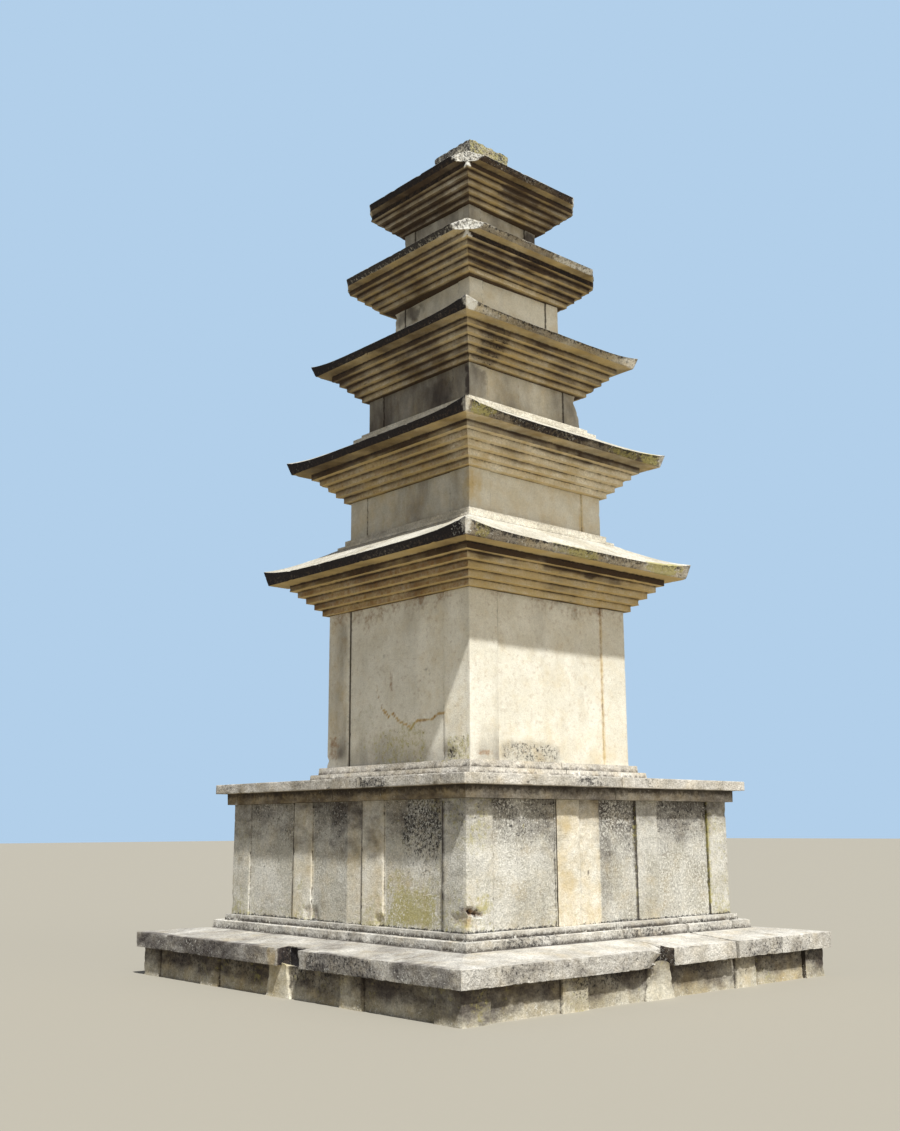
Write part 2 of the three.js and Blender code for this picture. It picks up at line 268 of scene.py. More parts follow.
# How strongly a mark lies on points: 1 well inside it and 0 outside, by the distance from its line
# over its width, or the fourth root of the summed fourth powers of the offsets over the box's sizes,
# with noise added that makes the edge ragged.
def markWeight(scar, points, seed):
    if "ends" in scar:
        start, end = scar["ends"]
        share = np.clip((points - start) @ (end - start) / np.sum((end - start) ** 2), 0, 1)
        away = np.linalg.norm(points - start - share[:, None] * (end - start), axis=1)
        ragged = away / scar["width"] + markForm["lineRagged"] * valueNoise(points, 0.06, seed)
        return 1 - smoothStep(ragged, *markForm["lineEdge"])
    offset = np.abs(points - scar["place"]) / scar["size"]
    rounded = (np.minimum(offset, 2) ** 4).sum(axis=1) ** 0.25
    noise = fractalNoise(points, max(0.05, scar["size"].max() / 3), 4, seed)
    return 1 - smoothStep(rounded + markForm["ragged"] * noise, *markForm["edge"])


# Adds every mark near a stone to its paint, and sinks the points under it by sink * weight.
def layMarks(points, paint):
    low, high = points.min(axis=0) - markForm["margin"], points.max(axis=0) + markForm["margin"]
    for number, scar in enumerate(marks):
        middle = scar["place"] if "place" in scar else np.mean(scar["ends"], axis=0)
        if (middle < low).any() or (middle > high).any():
            continue
        weight = markWeight(scar, points, markForm["seed"] + number)
        for name, amount in scar["added"].items():
            paint[name] += amount * weight
        if scar["sink"]:
            points -= scar["way"] * (scar["sink"] * weight)[:, None]


# No paint yet: zeros for each stain, for contact, where a stone bears on another, and for tone.
def blankPaint(points):
    return {name: np.zeros(len(points)) for name in [*stains, "contact", "tone"]}


# Lays the marks on a finished stone, and puts its points, faces and paint into a mesh that stands for
# its node.
def addStone(node, slotName, points, quads, triangles, paint):
    layMarks(points, paint)
    mesh = bpy.data.meshes.new(node + "_dressed")
    mesh.vertices.add(len(points))
    mesh.vertices.foreach_set("co", points.astype(np.float32).ravel())
    corners = np.concatenate([quads.ravel(), triangles.ravel()]).astype(np.int32)
    sizes = np.concatenate([np.full(len(quads), 4), np.full(len(triangles), 3)])
    mesh.loops.add(len(corners))
    mesh.loops.foreach_set("vertex_index", corners)
    mesh.polygons.add(len(sizes))
    mesh.polygons.foreach_set("loop_start", np.concatenate([[0], np.cumsum(sizes)[:-1]]).astype(np.int32))
    mesh.update(calc_edges=True)
    mesh.polygons.foreach_set("use_smooth", np.ones(len(sizes), bool))
    mesh.set_sharp_from_angle(angle=math.radians(38))
    for name in [*stains, "tone", "hollow"]:
        mesh.attributes.new(name, "FLOAT", "POINT").data.foreach_set("value", paint[name].astype(np.float32))
    mesh.materials.append(materials[slotName])
    stone = bpy.data.objects.new(node + "_dressed", mesh)
    bpy.context.collection.objects.link(stone)
    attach(stone, "root")
    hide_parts(node)


# Adds one shader node with its settings and the sockets that feed it, and gives back one of its
# outputs. A number names a socket by its place.
def addNode(tree, kind, settings, links, output=0):
    node = tree.nodes.new("ShaderNode" + kind)
    for name, value in settings.items():
        if isinstance(name, str) and hasattr(node, name):
            setattr(node, name, value)
        else:
            node.inputs[name].default_value = value
    for name, source in links.items():
        tree.links.new(source, node.inputs[name])
    return node.outputs[output] if node.outputs else None


# sRGB hex to linear, with its alpha: v / 12.92 up to 0.04045, and ((v + 0.055) / 1.055)^2.4 above.
def linear(hexColour):
    values = [int(hexColour[k:k + 2], 16) / 255 for k in (1, 3, 5)]
    return (*[v / 12.92 if v <= 0.04045 else ((v + 0.055) / 1.055) ** 2.4 for v in values], 1)


mixA, mixB, mixResult = 6, 7, 2  # a Mix node's colour sockets
softEdge = {"interpolation_type": "SMOOTHSTEP"}
middling = {"From Min": 0.3, "From Max": 0.7}  # where nearly all of a noise lies


# Dressed granite under weather, matt and pale to the eye. Two tones of the quarry stone cloud into each
# other, and its grains of feldspar, quartz and mica make it speckled. Each coat of soil, lichen, rust,
# painted shade or painted highlight is laid where noise plus paint is high, and grains, coats and pits
# stand up as bump.
def graniteMaterial(name, finish):
    material = bpy.data.materials.new(name)
    material.use_nodes = True
    tree = material.node_tree
    tree.nodes.clear()
    add = partial(addNode, tree)
    place = add("TexCoord", {}, {}, "Object")
    cloud = add("TexNoise", {"Scale": 1 / finish["cloudSize"], "Detail": 5, "Roughness": 0.6},
                {"Vector": place})
    cloudy = add("MapRange", {**softEdge, "From Min": 0.36, "From Max": 0.64}, {"Value": cloud})
    colour = add("Mix", {"data_type": "RGBA", mixA: linear(finish["light"]), mixB: linear(finish["dark"])},
                 {"Factor": cloudy}, mixResult)
    grain = add("TexNoise", {"Scale": 1 / finish["grainSize"], "Detail": 2, "Roughness": 0.7},
                {"Vector": place})
    toned = add("MapRange", {**middling, "To Min": 1 - finish["grain"], "To Max": 1 + finish["grain"]},
                {"Value": grain})
    mottle = add("TexNoise", {"Scale": 1 / finish["mottleSize"], "Detail": 4, "Roughness": 0.75},
                 {"Vector": place})
    mottled = add("MapRange", {**middling, "To Min": -finish["mottle"], "To Max": finish["mottle"]},
                  {"Value": mottle})
    for extra in (add("Attribute", {"attribute_name": "tone"}, {}, "Fac"), mottled):
        toned = add("Math", {"operation": "ADD"}, {0: toned, 1: extra})
    colour = add("VectorMath", {"operation": "SCALE"}, {"Vector": colour, "Scale": toned})
    height = grain
    for coat in finish["coats"]:
        scales = [1 / size for size in coat["size"]]
        scaled = add("Mapping", {"Scale": scales, "Location": [coat["shift"]] * 3}, {"Vector": place})
        noise = add("TexNoise", {"Scale": 1, "Detail": coat["detail"], "Roughness": coat["rough"]},
                    {"Vector": scaled})
        painted = add("Attribute", {"attribute_name": coat["paint"]}, {}, "Fac")
        laid = add("Math", {"operation": "MULTIPLY_ADD", 1: 1}, {0: painted, 2: noise})
        mask = add("MapRange", {**softEdge, "From Min": coat["from"], "From Max": coat["to"],
                                "To Max": coat["strength"]}, {"Value": laid})
        colour = add("Mix", {"data_type": "RGBA", mixB: linear(coat["colour"])},
                     {"Factor": mask, mixA: colour}, mixResult)
        height = add("Math", {"operation": "MULTIPLY_ADD", 1: coat["height"]}, {0: mask, 2: height})
    pits = add("TexNoise", {"Scale": 1 / finish["pitSize"], "Detail": 6, "Roughness": 0.62},
               {"Vector": place})
    height = add("Math", {"operation": "MULTIPLY_ADD", 1: finish["pits"]}, {0: pits, 2: height})
    bump = add("Bump", {"Strength": 1.0, "Distance": finish["bump"]}, {"Height": height})
    gloss = {"Roughness": finish["roughness"], "IOR": 1.5, "Specular IOR Level": 0.25}
    shader = add("BsdfPrincipled", gloss, {"Base Color": colour, "Normal": bump})
    add("OutputMaterial", {}, {"Surface": shader})
    return material


# A coat of weather: its colour, the size of its noise in metres, the sum of noise and paint from which
# it starts and at which it is full, and its height in bump units.
def coat(paint, colour, size, low, high, **extra):
    size = size if isinstance(size, tuple) else (size,) * 3
    plain = {"detail": 5, "rough": 0.62, "strength": 1, "height": 0, "shift": 0}
    return {**plain, "paint": paint, "colour": colour, "size": size, "from": low, "to": high, **extra}


# The same coats, with the one for damp and painted shade changed.
def withDampAndShade(**changed):
    return [{**one, **changed} if one["paint"] == "damp" else one for one in coatList]


# In the order of laying: iron drawn out of the stone, soot, algae and painted shade, rust, soil and
# painted shade in corners and joints, yellow-green, black and white lichen, and freshly broken stone or a
# painted highlight on the low cap's step
coatList = [
    coat("ochre", "#bfa468", 0.2, 0.4, 1.3, strength=0.9, shift=3),
    coat("damp", "#352c2a", (0.3, 0.3, 0.14), 0.55, 1.3, strength=0.95, rough=0.7, shift=5),
    coat("rust", "#84603a", 0.05, 0.6, 1.1, strength=0.85, shift=7),
    coat("hollow", "#2f2720", 0.05, 0.7, 1.2, strength=0.85, shift=11),
    coat("moss", "#a09755", 0.05, 0.62, 0.92, strength=0.75, rough=0.75, height=0.3, shift=13),
    coat("crust", "#232021", 0.034, 0.76, 0.92, strength=0.93, rough=0.76, height=0.5, shift=17),
    coat("speck", "#dedacd", 0.027, 0.8, 0.92, strength=0.85, rough=0.78, height=0.3, shift=19),
    coat("pale", "#dedace", 0.06, 0.6, 1.2, strength=0.85, rough=0.7, shift=23),
]
eaveCoats = withDampAndShade(size=(1.1, 1.1, 0.2), rough=0.68, colour="#37271e")  # under the eaves it lies in bands
blockCoats = withDampAndShade(size=(0.5, 0.5, 1.2), rough=0.6)  # and on the blocks it has run down
# Real grains are 2 to 5 mm and lichen spots about 10 mm, too fine to show on a tower seen from 14 m, so
# grains are drawn at 16 mm and spots at 27 to 50 mm
plainFinish = {
    "cloudSize": 0.35, "grainSize": 0.016, "grain": 0.28, "mottleSize": 0.04, "mottle": 0.22,
    "pitSize": 0.05, "pits": 1.2, "bump": 0.006, "roughness": 0.9, "coats": coatList,
}
finishes = {  # from the point-chiselled base to the finely rubbed blocks
    "low_wall_granite": {**plainFinish, "light": "#b9b3a2", "dark": "#9c937c", "grain": 0.25,
                         "mottle": 0.25},
    "low_cap_granite": {**plainFinish, "light": "#c6c1b6", "dark": "#aaa498", "grain": 0.3, "mottle": 0.26,
                        "bump": 0.01},
    "high_wall_granite": {**plainFinish, "light": "#c8c4b8", "dark": "#b3ae9f"},
    "high_cap_granite": {**plainFinish, "light": "#cac4b8", "dark": "#aca597", "mottle": 0.25,
                         "bump": 0.009},
    "block_granite": {**plainFinish, "light": "#d8d3c3", "dark": "#cec8b6", "grain": 0.1, "mottle": 0.07,
                      "bump": 0.003, "coats": blockCoats},
    "roof_granite": {**plainFinish, "light": "#cac4b4", "dark": "#b5ae9c", "bump": 0.008,
                     "coats": eaveCoats},
    "finial_granite": {**plainFinish, "light": "#bbb7a9", "dark": "#8f897b", "grain": 0.35, "mottle": 0.45,
                       "bump": 0.014},
    "rubble_fill": {**plainFinish, "light": "#9a8a6e", "dark": "#6c5d47", "grain": 0.2, "mottle": 0.16},
}
materials = {name: graniteMaterial(name, finish) for name, finish in finishes.items()}
for node in ("base_fill", "block_1_fill"):
    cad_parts[node].material_slots[0].material = materials["rubble_fill"]
print("materials made")


# The camera stands where the photograph was taken, at eye height
eye = {"place": (-9.539, -10.272, 1.55), "heading": 41.69, "pitch": 12.07, "roll": -0.27,
       "lens": 39.23, "sensor": 36, "farthest": 500}


# Its axes: forward has the heading and the pitch, and right and up turn with the roll about it.
def addCamera():
    heading, pitch, roll = (math.radians(eye[name]) for name in ("heading", "pitch", "roll"))
    level = Vector((math.cos(heading), -math.sin(heading), 0))
    flat = Vector((math.sin(heading), math.cos(heading), 0))
    above = Vector((0, 0, 1))
    forward = flat * math.cos(pitch) + above * math.sin(pitch)
    upright = above * math.cos(pitch) - flat * math.sin(pitch)
    right = level * math.cos(roll) + upright * math.sin(roll)
    up = upright * math.cos(roll) - level * math.sin(roll)
    lens = bpy.data.cameras.new("camera")
    lens.lens = eye["lens"]
    lens.sensor_width = eye["sensor"]
    lens.clip_end = eye["farthest"]
    camera = bpy.data.objects.new("camera", lens)
    axes = Matrix((right, up, -forward)).transposed().to_4x4()
    camera.matrix_world = Matrix.Translation(eye["place"]) @ axes
    bpy.context.collection.objects.link(camera)
    bpy.context.scene.camera = camera


# A soft key light at the height and side that the photograph's shadows show, in a pale surround
studio = {"key": 5.75, "keyColour": "#fbfdff", "keyWay": (0.245, 0.565, -1), "keyWidth": 2,
          "fill": 0.95, "fillColour": "#fff4e2", "fillWay": (0.1, 1, -0.3), "fillWidth": 80,
          "backdrop": "#b2cfea", "surround": "#8d94a1", "floor": "#989284", "floorHalf": 150}


# Two suns, a world that is blue to the camera and grey to the stone, and a square floor.
def addStudio():
    for name in ("key", "fill"):
        light = bpy.data.lights.new(name, "SUN")
        light.energy = studio[name]
        light.color = linear(studio[name + "Colour"])[:3]
        light.angle = math.radians(studio[name + "Width"])
        lamp = bpy.data.objects.new(name, light)
        lamp.rotation_euler = Vector(studio[name + "Way"]).to_track_quat("-Z", "Y").to_euler()
        bpy.context.collection.objects.link(lamp)
    world = bpy.data.worlds.new("surround")
    world.use_nodes = True
    world.node_tree.nodes.clear()
    add = partial(addNode, world.node_tree)
    seen = add("LightPath", {}, {}, "Is Camera Ray")
    tints = {mixA: linear(studio["surround"]), mixB: linear(studio["backdrop"])}
    tint = add("Mix", {"data_type": "RGBA", **tints}, {"Factor": seen}, mixResult)
    add("OutputWorld", {}, {"Surface": add("Background", {}, {"Color": tint})})
    bpy.context.scene.world = world
    reach = studio["floorHalf"]
    mesh = bpy.data.meshes.new("floor")
    corners = [(-reach, -reach, 0), (reach, -reach, 0), (reach, reach, 0), (-reach, reach, 0)]
    mesh.from_pydata(corners, [], [(0, 1, 2, 3)])
    floorPaint = bpy.data.materials.new("floorPaint")
    floorPaint.use_nodes = True
    shader = floorPaint.node_tree.nodes["Principled BSDF"]
    shader.inputs["Base Color"].default_value = linear(studio["floor"])
    shader.inputs["Roughness"].default_value = 0.9
    shader.inputs["Specular IOR Level"].default_value = 0.1
    mesh.materials.append(floorPaint)
    floor = bpy.data.objects.new("floor", mesh)
    bpy.context.collection.objects.link(floor)
    bpy.context.scene.view_settings.view_transform = "Standard"


addCamera()
addStudio()
print("camera and studio set")


# Walls of slabs. On the front side x runs along the wall and its outer face stands on the half width,
# stepped back by the recess between the pillars, and the other sides are quarter turns of it. A
# tapered pillar stands at the place given for its side, and its round top reaches into the notch.
lowWall = {
    "half": 2.618, "bottom": 0, "top": 0.29, "thick": 0.35, "recess": 0.035, "corner": 0.325,
    "pillar": 0.335, "pillarsFront": [-1.283, -0.129, 1.217], "pillarsOther": [-1.241, 0.008, 1.147],
    "joint": 0.005, "tapered": {0: -0.129, 3: 0.008}, "raised": {0: 0.055, 3: 0.03},
    "footWider": 0.22, "taper": 0.34,
    "step": 0.027, "near": 0.006, "grime": 0.6, "slot": "low_wall_granite",
    "wear": {**plainWear, "unevenSize": 0.35, "round": 0.008, "chipReach": 0.05},
}
highWall = {
    "half": 1.937, "bottom": 0.6443, "top": 1.824, "thick": 0.34, "recess": 0.018, "corner": 0.335,
    "pillar": 0.345, "pillars": [-0.608, 0.575], "joints": [-0.766, 0.408], "joint": 0.005,
    "step": 0.0235, "near": 0.005, "grime": 0.4, "slot": "high_wall_granite",
    "wear": {**plainWear, "uneven": 0.004, "unevenSize": 0.5, "chips": 26},
}
firstBlock = {
    "half": 1.199, "bottom": 2.2303, "top": 3.966, "thick": 0.4, "recess": 0.012, "corner": 0.398,
    "joint": 0.005, "step": 0.025, "near": 0.005, "grime": 0.7, "slot": "block_granite",
    "wear": {**plainWear, "uneven": 0.003, "unevenSize": 0.6, "round": 0.005, "roundSize": 0.4,
             "chips": 14, "chipReach": 0.04, "fresh": 0},
}


# A slab from start to end along its side. Its outer face is pushed in between the pillars, by the
# recess at the face and by nothing at its back. Round a tapered pillar, points move along the wall by
# their distance from its middle times footWider - taper * (height / top), and its top rises as a half
# circle.
def wallSlab(node, wall, pillars, side, start, end, seed, paintSlab):
    half, near = wall["half"], wall["near"]
    edges = [place for place in np.ravel(pillars) if start + near < place < end - near]
    xs = gradedLines(sorted([start, end, *edges, *[edge + sliver for edge in edges]]), wall["step"], near)
    ys = gradedLines([-half, wall["thick"] - half], 2.5 * wall["step"], near)
    zs = gradedLines([wall["bottom"], wall["top"]], wall["step"], near)
    points, quads, triangles = latticeBox(xs, ys, zs, hidden=[(1, 1), (2, 0), (2, 1)])
    paint = blankPaint(points)
    inPillar = np.zeros(len(points), bool)
    for low, high in pillars:
        inPillar |= (points[:, 0] > low + sliver / 2) & (points[:, 0] < high + sliver / 2)
    depth = np.clip((points[:, 1] + half) / wall["thick"], 0, 1)
    points[:, 1] += np.where(inPillar, 0, wall["recess"]) * (1 - depth)
    paint["panel"] = np.where(inPillar, 0.0, 1.0) * (depth < 0.02)
    inset = np.minimum(points[:, 2] - wall["bottom"], wall["top"] - points[:, 2])
    paint["contact"] = (inset < touch) * 1.0
    along = points[:, 0].copy()
    corner = half - 0.02
    seams = [along - start] * (start > -corner) + [end - along] * (end < corner)
    toSeam = np.min([wall["thick"] - half - points[:, 1], *seams], axis=0)
    toPillar = np.min([np.abs(along - edge) for edge in np.ravel(pillars)], axis=0) + 1 - paint["panel"]
    if side in wall.get("tapered", {}):
        offset = along - wall["tapered"][side]
        reach = offset / wall["pillar"] * 2
        share = points[:, 2] / wall["top"]
        wider = (wall["footWider"] - wall["taper"] * share) * (1 - smoothStep(np.abs(reach), 1.1, 2.2))
        points[:, 0] += offset * wider
        crown = np.sqrt(np.clip(1 - reach ** 2, 0, 1)) * (inset < touch) * (share > 0.5)
        points[:, 2] += wall["raised"][side] * crown * (1 - smoothStep(points[:, 1] + half, 0.02, 0.1))
    turnStone(points, side)
    weather(points, quads, paint, wall["wear"], seed)
    paintSlab(paint, points, along, side)
    # Soil in the seams, and grime with a painted shadow line on the panel along each pillar's edge
    soilAndShade = [1 - smoothStep(toSeam, 0, 0.008), wall["grime"] * (1 - smoothStep(toPillar, 0.001, 0.01))]
    paint["hollow"] = np.maximum.reduce([paint["hollow"], *soilAndShade])
    addStone(node, wall["slot"], points, quads, triangles, paint)


# The stretches along a wall that its corner pillars take, and the ones round the given centres.
def pillarSpans(wall, centres=()):
    inner = wall["half"] - wall["corner"]
    corners = [[-wall["half"] - 0.01, -inner], [inner, wall["half"] + 0.01]]
    return corners + [[c - wall["pillar"] / 2, c + wall["pillar"] / 2] for c in centres]


# Stretches of a wall that differ from the rest, from one place along it to another. The front's are
# repeated on the right side, and the left's on the back.
highSpans = {
    "front": [
        (-1.94, -1.60, {"tone": -0.04, "moss": 0.05, "crust": 0.03}),
        (-1.6, -0.77, {"tone": -0.07, "speck": 0.06}),
        (-0.77, -0.14, {"tone": 0.2, "ochre": 0.26, "crust": -0.1, "speck": -0.1, "damp": -0.05}),
        (-0.14, 0.03, {"tone": -0.2, "damp": 0.14, "speck": 0.08}),
        (0.03, 0.40, {"tone": -0.2, "speck": 0.08}),
        (0.41, 0.75, {"tone": -0.12, "speck": 0.04}),
        (0.75, 1.6, {"tone": -0.16, "speck": 0.07}),
        (1.6, 1.94, {"tone": 0.06, "speck": 0.06, "moss": -0.15}),
    ],
    "left": [
        (-1.96, -1.6, {"tone": 0.03, "crust": -0.04}),
        (-1.59, -0.8, {"tone": -0.02, "speck": 0.05}),
        (-0.79, -0.42, {"tone": 0.28, "ochre": 0.15, "damp": -0.05}),
        (-0.41, 0.14, {"tone": -0.07, "speck": 0.05}),
        (0.14, 0.40, {"tone": 0.28, "ochre": 0.2, "crust": -0.05}),
        (0.41, 0.76, {"tone": 0.3, "ochre": 0.2, "crust": -0.1, "damp": -0.05}),
        (0.78, 1.57, {"moss": 0.1, "ochre": 0.1, "speck": 0.05}),
        (1.58, 1.94, {"tone": 0.2, "crust": -0.08, "damp": -0.1, "speck": 0.05}),
    ],
}
lowSpans = {
    "front": [
        (-1.45, -1.11, {"tone": 0.15, "damp": -0.15}),
        (-0.3, 0.04, {"tone": 0.25, "damp": -0.3, "crust": -0.1}),
        (1.05, 1.39, {"tone": 0.1, "damp": -0.15}),
    ],
    "left": [
        (-0.16, 0.18, {"tone": 0.35, "damp": -0.35, "crust": -0.15}),
        (1.0, 1.3, {"tone": 0.1, "damp": -0.1}),
    ],
}


# Adds each stretch's paint where the place along the wall lies inside it.
def addSpans(paint, spans, along, side):
    for low, high, added in spans["front" if side < 2 else "left"]:
        for name, amount in added.items():
            paint[name] += amount * ((along > low) & (along < high))


# Paint for a low wall: damp all over, darker to the top, and soil splashed on its foot.
def paintLowWall(paint, points, along, side):
    height = points[:, 2] / lowWall["top"]
    splash = 1 - smoothStep(height + 0.5 * fractalNoise(points, 0.25, 4, 70), 0.15, 0.5)
    paint["damp"] = 0.46 + 0.15 * height + 0.2 * fractalNoise(points, 0.4, 3, 71) - 0.3 * splash
    paint["damp"] += 0.14 * fractalNoise(points * [1, 1, 0.15], 0.12, 3, 73)
    paint["crust"] = 0.16 + 0.12 * height + 0.16 * fractalNoise(points, 0.3, 3, 72) - 0.1 * splash
    paint["pale"] = 0.05 * splash
    paint["ochre"] = 0.08 + 0.22 * fractalNoise(points, 0.5, 2, 74)
    paint["tone"] = -0.1 * splash
    paint["moss"] = 0.05 + 0.2 * fractalNoise(points, 0.4, 2, 75)
    paint["speck"] = 0.1 + 0.15 * splash
    addSpans(paint, lowSpans, along, side)


# Paint for a high wall: dark crust from the top down, painted shade over the upper pillars on the back and
# left, white specks of lichen, yellow ones at the foot.
def paintHighWall(paint, points, along, side):
    height = (points[:, 2] - highWall["bottom"]) / (highWall["top"] - highWall["bottom"])
    panel = paint["panel"]
    patches = fractalNoise(points, 0.6, 4, 81)
    ragged = height + 0.25 * fractalNoise(points, 0.3, 4, 85)
    upper = smoothStep(ragged, 0.4, 1) * (0.62 + 0.38 * panel)
    foot = 1 - smoothStep(height, 0, 0.035)
    # Painted shade where the cap's shadow falls on the upper pillars of the back and left
    inShade = smoothStep(ragged, 0.46, 0.6) * (side > 1) * (1 - panel)
    paint["crust"] = 0.1 + 0.12 * upper + 0.04 * panel + 0.06 * patches + 0.3 * foot
    paint["speck"] = 0.18 + 0.04 * panel + 0.1 * fractalNoise(points, 0.4, 3, 82)
    paint["damp"] = 0.08 + 0.42 * upper + 0.06 * patches + 0.14 * inShade
    paint["tone"] = 0.14 * panel * fractalNoise(points * [1, 1, 0.2], 0.12, 3, 86)
    paint["moss"] = -0.02 + 0.14 * smoothStep(-height, -0.4, 0) + 0.2 * fractalNoise(points, 0.6, 2, 84)
    addSpans(paint, highSpans, along, side)


# Paint for the first block: nearly clean, faint drips under the eave, grey at the foot.
def paintFirstBlock(paint, points, along, side):
    height = (points[:, 2] - firstBlock["bottom"]) / (firstBlock["top"] - firstBlock["bottom"])
    drips = fractalNoise(points * [1, 1, 0.3], 0.2, 4, 91)
    foot = 1 - smoothStep(height + 0.12 * fractalNoise(points, 0.3, 4, 93), 0.02, 0.2)
    lit = (side < 2) * 1.0
    paint["rust"] = 0.1 + 0.25 * smoothStep(height, 0.88, 1) * (0.5 + drips)
    paint["damp"] = 0.04 + foot * (0.28 - 0.2 * lit) + 0.08 * drips
    paint["speck"] += 0.02
    yellowed = fractalNoise(points, 0.8, 2, 92)
    paint["ochre"] = -0.05 + 0.14 * yellowed + 0.12 * lit * smoothStep(-height, -0.3, 0)


# What the photograph shows on them. Block 1: drips and spots under the eave, a wandering crack, a grey
# rough patch at the front's foot and a damp one on the left, a rusty edge, and chips at the foot.
front = partial(mark, "front", firstBlock["half"])
left = partial(mark, "left", firstBlock["half"])
for place, height, size in [(0.14, 3.95, 0.05), (0.38, 3.88, 0.06), (0.8, 3.95, 0.05), (1.13, 3.87, 0.04)]:
    front((place - size, place + size), (height - 0.09, height + 0.07), rust=0.06, damp=0.16)
for place, height, size in [(0.62, 3.93, 0.07), (0.44, 3.85, 0.12), (0.26, 3.9, 0.06), (-0.43, 3.93, 0.05)]:
    left((place - size, place + size), (height - 0.12, height + 0.07), rust=0.12, damp=0.12)
for place, height in [(-0.51, 3.18), (-0.56, 3.13), (0.2, 3.4)]:
    left((place - 0.02, place + 0.02), (height - 0.02, height + 0.02), damp=0.35)
left((0.04, 0.1), (2.95, 3.22), damp=0.1, rust=0.2)
left((-0.65, 0.4), (2.1, 2.68), damp=0.02, crust=0.19, moss=0.2, speck=0.2)
left((-1.2, -0.8), (2.1, 2.95), tone=0.12, ochre=0.12, crust=0.17, speck=0.2)
left((-1.2, -0.82), (2.1, 2.5), crust=0.08, moss=0.25)
left((0.83, 1.25), (2.3, 3.96), damp=0.27, ochre=0.2)
left((-1.2, -0.3), (2.6, 3.9), tone=0.12, ochre=0.06)
left((0.33, 0.69), (2.28, 2.96), moss=0.12, tone=-0.06)
left((1.0, 1.17), (2.3, 2.6), rust=0.25, sink=0.012)
front((-0.78, 0.2), (2.18, 2.43), sink=0.008, tone=-0.17, damp=0.08, crust=0.27, speck=0.2)
front((-0.83, -0.77), (2.1, 3.35), hollow=-0.6)
front((-0.83, -0.77), (3.35, 4.1), hollow=-0.2)
front((0.77, 0.83), (2.1, 4.1), hollow=-0.22, rust=0.13, ochre=0.35)
left((-0.83, -0.77), (2.9, 4.1), hollow=-0.35)
front((-1.12, -0.86), (2.27, 2.33), sink=0.003, crust=0.2, rust=0.3)
left((-0.99, -0.78), (2.24, 2.35), sink=0.01, crust=0.1)
crackPlaces = [(0.23, 2.83), (0.17, 2.79), (0.11, 2.74), (0.04, 2.76), (-0.08, 2.67), (-0.21, 2.62),
               (-0.26, 2.59), (-0.36, 2.66), (-0.43, 2.67), (-0.59, 2.65), (-0.65, 2.69), (-0.71, 2.71),
               (-0.81, 2.71)]
markLine("left", 1.187, crackPlaces, 0.014, rust=0.2, ochre=0.8)
markLine("left", 1.187, [(0.32, 3.09), (0.29, 2.97), (0.23, 2.85)], 0.014, rust=0.22, ochre=0.3)
# High base: lichen on the near pillar and panels, the hole at its corner, brown dots, the dark mottled
# area on the left, and a painted shadow line where the left's near panel steps back from its pillar
front = partial(mark, "front", highWall["half"])
left = partial(mark, "left", highWall["half"])
front((-1.82, -1.63), (0.77, 1.0), moss=0.12, ochre=0.15)
for start, low in [(-1.97, 0.81), (-1.92, 0.79), (-1.86, 0.77)]:
    front((start, start + 0.13), (low, low + 0.07), sink=0.022, rust=0.26, damp=0.24, crust=0.12, moss=-0.2)
front((-1.96, -1.76), (0.66, 0.78), sink=0.008, rust=0.1, ochre=0.2)
front((-1.21, -1.17), (1.56, 1.60), moss=0.5)
front((-0.33, -0.29), (1.11, 1.15), damp=0.6)
mark("front", 1.92, (1.58, 1.63), (0.7, 1.8), moss=0.2, damp=0.2)
front((0.37, 0.42), (0.7, 1.8), moss=0.2, damp=0.2)
left((-1.6, -1.0), (1.05, 1.84), crust=0.15, speck=0.06)
left((-1.55, -0.78), (0.66, 1.2), moss=0.1, ochre=0.08)
left((-1.5, -0.85), (0.66, 1.0), moss=0.1, ochre=0.04)
left((-0.42, 0.15), (1.3, 1.86), damp=0.13)
# A painted shadow line along the flank of the left's near panel
markLine("left", 1.93, [(-1.597, 0.65), (-1.597, 1.8)], 0.016, damp=0.6)
left((0.58, 0.7), (0.93, 1.05), moss=0.2)
left((1.31, 1.35), (1.14, 1.18), damp=0.8)
left((0.32, 0.55), (0.64, 0.79), sink=0.015, rust=0.2, tone=-0.1)
left((-0.76, -0.64), (0.64, 0.75), sink=0.02, rust=0.2, crust=0.2)
left((-1.95, -1.75), (0.7, 0.82), sink=0.015, rust=0.14, ochre=0.2)

for side, sideName in enumerate(sides):
    spans = pillarSpans(lowWall, lowWall["pillarsFront" if side == 0 else "pillarsOther"])
    end = lowWall["half"] - lowWall["thick"] - lowWall["joint"]
    wallSlab(f"low_wall_{sideName}", lowWall, spans, side, -lowWall["half"], end, 100 + side, paintLowWall)
    spans = pillarSpans(highWall, highWall["pillars"])
    bounds = [-highWall["half"], *highWall["joints"], highWall["half"] - highWall["thick"]]
    for n in range(3):
        start = bounds[n] + (highWall["joint"] / 2 if n > 0 else 0)
        end = bounds[n + 1] - (highWall["joint"] / 2 if n < 2 else highWall["joint"])
        wallSlab(f"high_wall_{sideName}_{n + 1}", highWall, spans, side, start, end, 110 + 3 * side + n,
                 paintHighWall)
    start = -(firstBlock["half"] - firstBlock["thick"] - firstBlock["joint"])
    wallSlab(f"block_1_{sideName}", firstBlock, pillarSpans(firstBlock), side, start, firstBlock["half"],
             130 + side, paintFirstBlock)
print("walls and first block dressed")


